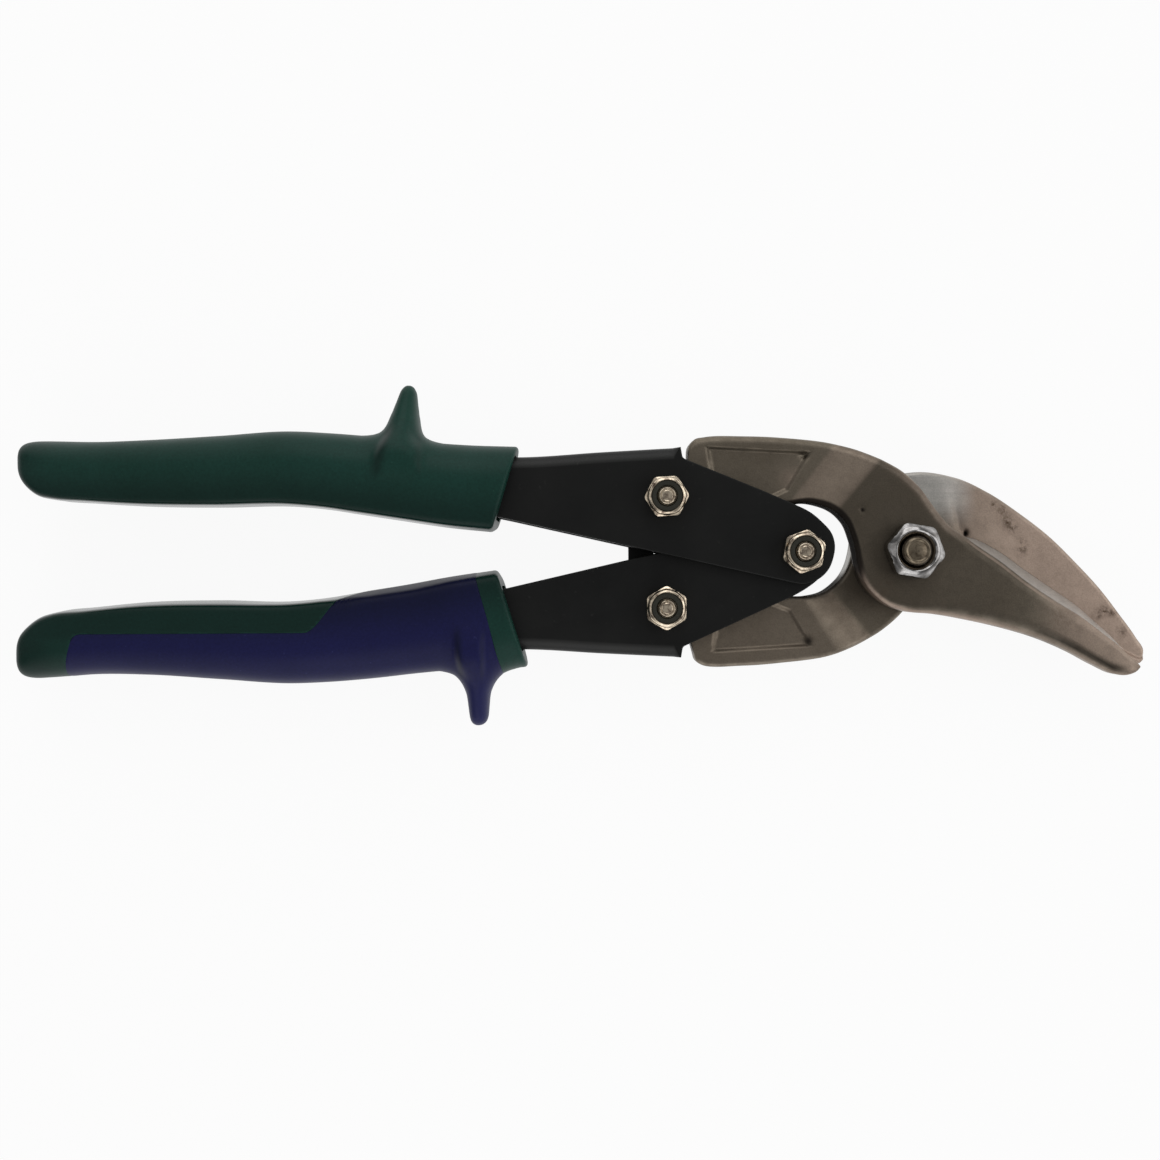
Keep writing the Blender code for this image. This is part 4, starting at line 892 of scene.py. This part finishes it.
def skinPoints(grow, proud, wall):
    # the soft skin follows the grip from phi -edge to +edge; the edge lies on a line along the grip's
    # face, rounds off at the slanted back and swings over to the whole section near the fin
    start, stop = skin["back"] - grow, skin["front"] + grow
    rows, lengths = np.array(lowerGrip["rows"]), rowLengths(lowerGrip)
    at = gripStations(lowerGrip, start, stop)
    station = smoothThrough(lengths, rows[:, 0], at)
    extra = start + np.array([0.0, 0.08, 0.2, 0.4, 0.7, 1.1, 1.6, 2.2, 3.0])
    at = np.sort(np.concatenate([at[station > start + 3.4], np.interp(extra, rows[:, 0], lengths)]))
    ends = stop - np.array([0.35, 0.2, 0.08, 0.0])
    at = np.sort(np.concatenate([at[at < np.interp(stop - 0.45, rows[:, 0], lengths)],
                                 np.interp(ends, rows[:, 0], lengths)]))
    values = smoothThrough(lengths, rows, at)
    station, mid = values[:, 0], (values[:, 1] + values[:, 2]) / 2
    radius = skin["cornerRadius"]
    into = np.clip(radius - (station - start), 0, radius)
    inner = np.interp(station, rows[:, 0], rows[:, 2])
    line = skin["line"] - (skin["line"] - inner - 1.6) * ease(skin["swingFrom"], skin["swingTo"], station)
    line = line - grow + radius - np.sqrt(np.maximum(radius**2 - into**2, 0))
    fine = np.linspace(0, 1, 1500)
    table = gripPoints(lowerGrip, at, fine, 0.0)
    inside = -table[..., 1] <= line[:, None]
    edge = fine[np.argmax(inside, axis=1)]
    joined = ease(skin["swingTo"] - 2.0, skin["swingTo"] + 6.0, station)
    edge = edge + (0.9985 - edge) * joined
    u = np.linspace(-1, 1, 150)
    spread = u - 0.12 * np.sin(np.pi * u) / np.pi
    phi = edge[:, None] * spread[None, :]
    at = at[:, None] - skin["slant"] * (1 - u**2) * ease(start + 14.0, start, station)[:, None]
    grid = gripPoints(lowerGrip, at, phi)
    bare = gripPoints(lowerGrip, at, phi, 0.0)
    along = gripPoints(lowerGrip, at + 0.02, phi, 0.0) - gripPoints(lowerGrip, at - 0.02, phi, 0.0)
    across = gripPoints(lowerGrip, at, phi + 0.001, 0.0) - gripPoints(lowerGrip, at, phi - 0.001, 0.0)
    out = unit(np.cross(along, across))
    middle = np.stack([station, -mid, np.full(len(at), lowerGrip["level"])], axis=1)[:, None]
    out *= np.sign(np.sum(out * (bare - middle), axis=2, keepdims=True))
    sideLip = bell((1 - np.abs(u))[None, :] * edge[:, None] * 30, skin["lip"]) * (1 - joined)[:, None]
    endLip = np.maximum(bell(station - start, skin["lip"]), bell(stop - station, skin["lip"]))
    lip = np.maximum(sideLip, endLip[:, None])
    top = grid + out * (proud - 0.09 * lip * (proud < 0.2))[..., None]
    return np.concatenate([top, (bare - out * wall)[:, ::-1]], axis=1)


def makeLowerGrip():
    grid = skinPoints(0.0, skin["proud"], skin["wall"])
    marks = gripMarks(lowerGrip, grid)
    # painted light: the violet fin paler still
    marks["wearAndSheen"] = marks["wearAndSheen"] * 1.8
    soft = surface("lowerGripSkin", grid, marks=marks)
    grid = gripPoints(lowerGrip, gripStations(lowerGrip, -196, -87.7), ringShares, 1.5)
    grid = rimmed(grid, section["rim"])
    marks = {**gripMarks(lowerGrip, grid), "wall": wallMark(ringShares, grid[..., 0])}
    marks["shade"] = np.clip(marks["shade"] + 0.5 * ease(-120.0, -135.0, grid[..., 0]), 0, 1)
    core = surface("lowerGripMoulding", grid, marks=marks)
    cutAway(core, surface("recess", skinPoints(0.06, 0.3, skin["wall"] + 0.1)))
    cutAway(core, tangPocket(-1))
    fit(core, "lower_handle", "lower_grip", greenRubber)
    fit(soft, "lower_handle", "lower_grip_overmould", violetRubber)


makeUpperGrip()
makeLowerGrip()
print("grips made")


# Fasteners: profiles carried round, each row a radius and a level, and where given the share of the
# hexagon and the slope of the chamfer cone
pivotSet = {"diameter": 6.35, "flats": 11.1, "head": 4.2, "nut": 5.2, "spin": 50.0, "end": 0.5,
            "pitch": 1.0}
linkSet = {"diameter": 4.2, "flats": 8.45, "head": 3.0, "hex": 3.2, "nut": 5.0, "crown": 4.1,
           "insert": 3.3, "insertTall": 1.3, "end": 0.6, "pitch": 0.8}
latchThick = 1.5
pivotSeat = midZ + jawSet["hubHigh"] + gap


def turned(name, centre, profile, flats=0.0, spin=0.0, closed=False, count=144, shade=None):
    # radius grows from round to the hexagon's by the third number; the level falls by slope times what
    # the radius is past the flats, which draws the curved chamfer lines of a real nut
    turn = np.radians(spin) + np.arange(count) * 2 * np.pi / count
    local = (turn - np.radians(spin)) % (np.pi / 3) - np.pi / 6
    hexagon = np.minimum(flats / 2 / np.cos(local), 0.965 * flats / np.sqrt(3))
    rows = [(*row, 0.0, 0.0)[:4] for row in profile]
    radius, level, share, slope = np.array(rows, float).T[:, :, None]
    r = radius + share * (hexagon[None] - flats / 2)
    z = level + slope * (r - flats / 2)
    grid = np.stack([centre[0] + r * np.cos(turn), centre[1] + r * np.sin(turn), z], axis=2)
    marks = None if shade is None else {"shade": np.array(shade)[:, None]}
    return surface(name, grid, closed=closed, marks=marks)


def makeBolt(name, centre, size, seat, end, spin, body, node, material):
    f, r, pitch = size["flats"] / 2, size["diameter"] / 2, size["pitch"]
    bottom = seat - size["head"]
    head = [(0.06, bottom), (f * 0.60, bottom), (f * 0.90, bottom + 0.02), (f * 0.96, bottom + 0.10),
            (f, bottom + 0.25, 1, 0.5), (f, seat - 0.30, 1), (f, seat - 0.02, 1), (f * 0.97, seat, 1),
            (r + 0.35, seat), (r, seat)]
    shank = [(r, z) for z in np.linspace(seat + 0.2, end - 3.2, 4)]
    levels = np.arange(end - 3.0, end - 0.45, pitch / 6)
    wave = 0.5 - 0.5 * np.cos(2 * np.pi * (levels - end) / pitch)
    threads = [(r - 0.22 * w, z) for z, w in zip(levels, wave)]
    tip = [(r * 0.90, end - 0.38), (r * 0.84, end - 0.12), (r * 0.78, end), (r * 0.70, end - 0.03),
           (r * 0.64, end - 0.16), (r * 0.57, end - 0.16), (r * 0.50, end - 0.06), (0.05, end - 0.10)]
    piece = turned(name, centre, head + shank + threads + tip, size["flats"], spin)
    fit(piece, body, node, material)


def makeLockNut(prefix, centre, seat, spin, body, node):
    f, hole = linkSet["flats"] / 2, linkSet["diameter"] / 2 + 0.12
    crown, ring, top = linkSet["crown"], linkSet["insert"] + 0.12, seat + linkSet["nut"]
    shoulder = seat + linkSet["hex"]
    floor = top - linkSet["insertTall"] - 0.25
    roll = np.linspace(0, np.pi / 2, 6)
    lip = [(ring + (crown - ring) * np.cos(t) * 0.94, top - 0.85 * (1 - np.sin(t)), 0.3 * np.cos(t))
           for t in roll]
    outside = [(hole, seat), (f * 0.95, seat), (f, seat + 0.12, 1, 0.45), (f, shoulder - 0.05, 1, -0.42),
               (f * 0.985, shoulder + 0.02), (crown + 0.04, shoulder + 0.05),
               (crown, shoulder + 0.28, 0.3), (crown * 0.985, top - 1.0, 0.3)]
    inside = [(ring, top - 0.20), (ring, floor), (hole, floor)]
    nut = turned(prefix + "Nut", centre, outside + lip + inside, linkSet["flats"], spin, closed=True)
    fit(nut, body, node + "_nut", nickelPlate)
    bore = linkSet["diameter"] / 2 + 0.05
    low, high = floor + 0.05, top - 0.22
    collar = [(bore, low), (ring - 0.08, low), (ring - 0.08, high - 0.15), (ring - 0.22, high),
              (bore + 0.35, high + 0.04), (bore + 0.1, high - 0.08), (bore, high - 0.35)]
    insert = turned(prefix + "Insert", centre, collar, closed=True)
    fit(insert, body, node + "_insert", oliveNylon)


def makePivotNut():
    f, hole = pivotSet["flats"] / 2, pivotSet["diameter"] / 2 + 0.1
    top = pivotSeat + pivotSet["nut"]
    profile = [(hole, pivotSeat), (f * 0.94, pivotSeat), (f * 0.985, pivotSeat + 0.10),
               (f, pivotSeat + 0.25, 1, 0.5), (f, top - 0.85, 1, -0.50), (f * 0.975, top - 0.62),
               (f * 0.90, top - 0.27), (f * 0.82, top - 0.04), (f * 0.79, top), (f * 0.765, top - 0.06),
               (hole + 0.35, top - 0.75), (hole, top - 1.0)]
    shade = [1, 1, 1, 1, 0.5] + [0] * 7   # darker down the sides
    nut = turned("pivotNut", jawPivot, profile, pivotSet["flats"], pivotSet["spin"], closed=True,
                 shade=shade)
    fit(nut, "rear_jaw", "pivot_nut", chromePlate)


def makeFasteners():
    makePivotNut()
    pivotEnd = pivotSeat + pivotSet["nut"] + pivotSet["end"]
    makeBolt("pivotBolt", jawPivot, pivotSet, pivotSet["head"], pivotEnd, pivotSet["spin"], "rear_jaw",
             "pivot_bolt", boltSteel)
    half = channel / 2 + sheet
    frontUpper, frontLower = midZ + stagger + half, midZ - stagger + half
    backUpper, backLower = midZ + stagger - half, midZ - stagger - half
    underLatch = backUpper - gap - latchThick
    places = [("handlePivot", handlePivot, frontUpper, backLower, 20, "lower_handle", "handle_pivot"),
              ("upperLink", upperLink, frontUpper, underLatch, 3, "upper_handle", "upper_link"),
              ("lowerLink", lowerLink, frontLower, backLower, 30, "lower_handle", "lower_link")]
    for prefix, centre, front, back, spin, body, node in places:
        makeLockNut(prefix, centre, front + gap, spin, body, node)
        end = front + gap + linkSet["nut"] + linkSet["end"]
        makeBolt(prefix + "Bolt", centre, linkSet, back - gap, end, spin, body, node + "_bolt",
                 nickelPlate)


makeFasteners()
print("fasteners made")


# Return spring on its bushing
spring = {"wire": 1.2, "turns": 1.5, "bushing": 0.6, "legX": -45.0, "legY": 4.85}


def tubeAlong(name, path, radius, sides=16):
    # a circle carried along a path, set square to it by the upright direction
    along = unit(np.gradient(path, axis=0))
    right = unit(np.cross(along, (0, 0, 1.0)))
    up = np.cross(right, along)
    turn = np.arange(sides) * 2 * np.pi / sides
    size = np.full(len(path), radius)
    size[[0, -1]] *= 0.75
    ring = np.cos(turn)[None, :, None] * right[:, None] + np.sin(turn)[None, :, None] * up[:, None]
    return surface(name, path[:, None] + ring * size[:, None, None])


def makeSpring():
    room = channel / 2 - stagger
    inner = linkSet["diameter"] / 2 + gap
    outer = inner + spring["bushing"]
    low, high = midZ - room + gap, midZ + room - gap
    bush = [(inner, low + 0.1), (inner + 0.1, low), (outer - 0.1, low), (outer, low + 0.1),
            (outer, high - 0.1), (outer - 0.1, high), (inner + 0.1, high), (inner, high - 0.1)]
    bushing = turned("springBushing", handlePivot, bush, closed=True)
    fit(bushing, "lower_handle", "spring_bushing", nickelPlate)
    radius = outer + gap + spring["wire"] / 2
    climb = 2 * room - 3 * gap - spring["wire"]
    share = np.linspace(0, 1, 110)
    coil = polar(handlePivot, radius, -90 + 360 * spring["turns"] * share)
    coil = np.concatenate([coil, (midZ + climb * (share - 0.5))[:, None]], axis=1)
    legX = spring["legX"] + np.array([0.0, 1.2, 2.4, 3.6, 5.0, 9.0, 13.0, 17.0])
    legY = spring["legY"] - np.array([1.6, 0.85, 0.3, 0.08, 0.0, 0.0, 0.0, 0.0])
    pull = np.linspace(0, 1, 4) ** 2
    legY[4:] += (radius - legY[4:]) * pull * 0.75
    lowLeg = np.stack([legX, -legY, np.full(8, coil[0, 2])], axis=1)
    highLeg = np.stack([legX, legY, np.full(8, coil[-1, 2])], axis=1)[::-1]
    path = np.concatenate([lowLeg, coil, highLeg])
    keys = lengthsAlong(path)
    path = smoothThrough(keys, path, np.linspace(0, keys[-1], 260))
    wire = tubeAlong("returnSpringWire", path, spring["wire"] / 2)
    dress(wire, springWire, sharp=40)
    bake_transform(wire)
    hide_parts("return_spring")


makeSpring()
print("spring made")


# Latch: a plate on the upper link with a thumb tab, hooking into the lower handle's slot
latch = {"boss": 5.0, "left": -61.0, "right": -55.25, "hookLow": -6.4, "toe": -53.9, "neck": -4.5,
         "neckRight": -55.85, "tab": [(-65.4, 9.0), (-65.4, 3.2), (-63.9, 3.2), (-63.9, 9.0)],
         "tabTall": 3.0, "rim": 0.2, "flat": 0.1}


def makeLatch():
    front = midZ + stagger - channel / 2 - sheet - gap
    boss = polar(upperLink, latch["boss"], np.linspace(-40, 190, 48))
    arm = [tuple(boss[-1]), (-64.6, 9.0), (-64.6, 3.2), (latch["left"], 1.8),
           (latch["left"], latch["hookLow"]), (latch["toe"], latch["hookLow"]),
           (latch["toe"], latch["neck"]), (latch["neckRight"], latch["neck"]), (latch["right"], 0.6),
           (-52.4, 5.0), tuple(boss[0])]
    outline = np.concatenate([boss, roundedPath(arm, 0.8)[1:-1]])
    plate = platePress(outline, front - latchThick, front, latch["rim"], latch["flat"])
    # painted light: the whole plate a little paler, though it lies in shade between the handles
    piece = surface("latchPlate", plate, marks={"wearAndSheen": np.full(1, 0.6)})
    tabPlan = roundedLoop(np.array([latch["tab"]]), np.full((1, 4), 0.6), [2, 2, 2, 2])[0][0]
    tabLow = front - latchThick - latch["tabTall"]
    tab = surface("tab", platePress(tabPlan, tabLow, front - gap, latch["rim"], latch["flat"]))
    cutAway(piece, tab, operation="UNION")
    cutAway(piece, drill(upperLink, linkHole))
    fit(piece, "latch", "latch", blackedSteel)


makeLatch()
print("latch made")


# Floor, sky and lamps
stageSet = {"floorSize": 6.0, "floorZ": -0.0003, "white": 0.93, "aim": (-0.07, 0.0, 0.01),
            "lampSize": 0.8, "dark": (0.84, 0.84, 0.835), "light": (0.87, 0.87, 0.865)}


def makeFloor():
    half = stageSet["floorSize"] / 2
    z = stageSet["floorZ"]
    mesh = bpy.data.meshes.new("floor")
    corners = [(-half, -half, z), (half, -half, z), (half, half, z), (-half, half, z)]
    mesh.from_pydata(corners, [], [(0, 1, 2, 3)])
    floor = addObject("floor", mesh)
    material, tree, shader, place = startFinish("paleFloor")
    cloud = grain(tree, place, 6.0, 2.0, 0.5)
    tone = ramp(tree, cloud, [(0.3, stageSet["dark"]), (0.7, stageSet["light"])])
    setInputs(tree, shader, {"Base Color": tone, "Roughness": 0.9, "Specular IOR Level": 0.1})
    rays = addNode(tree, "ShaderNodeLightPath").outputs
    seen = maths(tree, "MAXIMUM", rays["Is Camera Ray"], rays["Is Glossy Ray"])
    seen = maths(tree, "MAXIMUM", seen, rays["Is Transmission Ray"])
    glow = addNode(tree, "ShaderNodeEmission", {"Color": (1.0, 1.0, 1.0, 1.0), "Strength": 1.0})
    share = maths(tree, "MULTIPLY", seen, stageSet["white"])
    shaders = {0: share, 1: shader.outputs["BSDF"], 2: glow.outputs["Emission"]}
    blend = addNode(tree, "ShaderNodeMixShader", shaders).outputs["Shader"]
    setInputs(tree, tree.nodes["Material Output"], {"Surface": blend})
    mesh.materials.append(material)


# brightness by height and from left to right, halved in the ramps and doubled again after
sky = {"upwards": [(0.0, 1.5), (0.22, 0.80), (0.58, 0.28), (1.0, 0.34)],
       "across": [(0.0, 0.25), (0.12, 0.3), (0.2, 0.6), (0.33, 1.45), (0.5, 1.0), (0.67, 0.65),
                  (0.8, 0.95), (1.0, 1.2)]}


def makeSky():
    world = bpy.data.worlds.new("studio")
    bpy.context.scene.world = world
    world.use_nodes = True
    tree = world.node_tree
    direction = addNode(tree, "ShaderNodeTexCoord").outputs["Generated"]
    parts = addNode(tree, "ShaderNodeSeparateXYZ", {"Vector": direction}).outputs
    level = ramp(tree, parts["Z"], [(at, value / 2) for at, value in sky["upwards"]])
    across = maths(tree, "MULTIPLY", maths(tree, "ADD", parts["X"], 1.0), 0.5)
    tint = ramp(tree, across, [(at, value / 2) for at, value in sky["across"]])
    strength = maths(tree, "MULTIPLY", maths(tree, "MULTIPLY", level, 4.0), tint)
    setInputs(tree, tree.nodes["Background"], {"Color": (1.0, 1.0, 1.0, 1.0), "Strength": strength})


def makeLamp(name, place, aim, size, power):
    data = bpy.data.lights.new(name, "AREA")
    data.size = size
    data.energy = power
    lamp = addObject(name, data)
    lamp.location = place
    lamp.rotation_euler = (Vector(aim) - Vector(place)).to_track_quat("-Z", "Y").to_euler()


makeFloor()
makeSky()
lamps = {"leftLamp": (-0.95, 0.10, 0.75, 1.0), "rightLamp": (0.80, 0.10, 0.75, 2.8),
         "farLamp": (-0.05, 0.90, 0.70, 3.0), "nearLamp": (-0.10, -0.90, 0.70, 2.5)}
for name, (x, y, z, power) in lamps.items():
    makeLamp(name, (x, y, z), stageSet["aim"], stageSet["lampSize"], power)
bpy.context.scene.view_settings.view_transform = "Standard"
print("stage made")

bpy.context.view_layer.update()
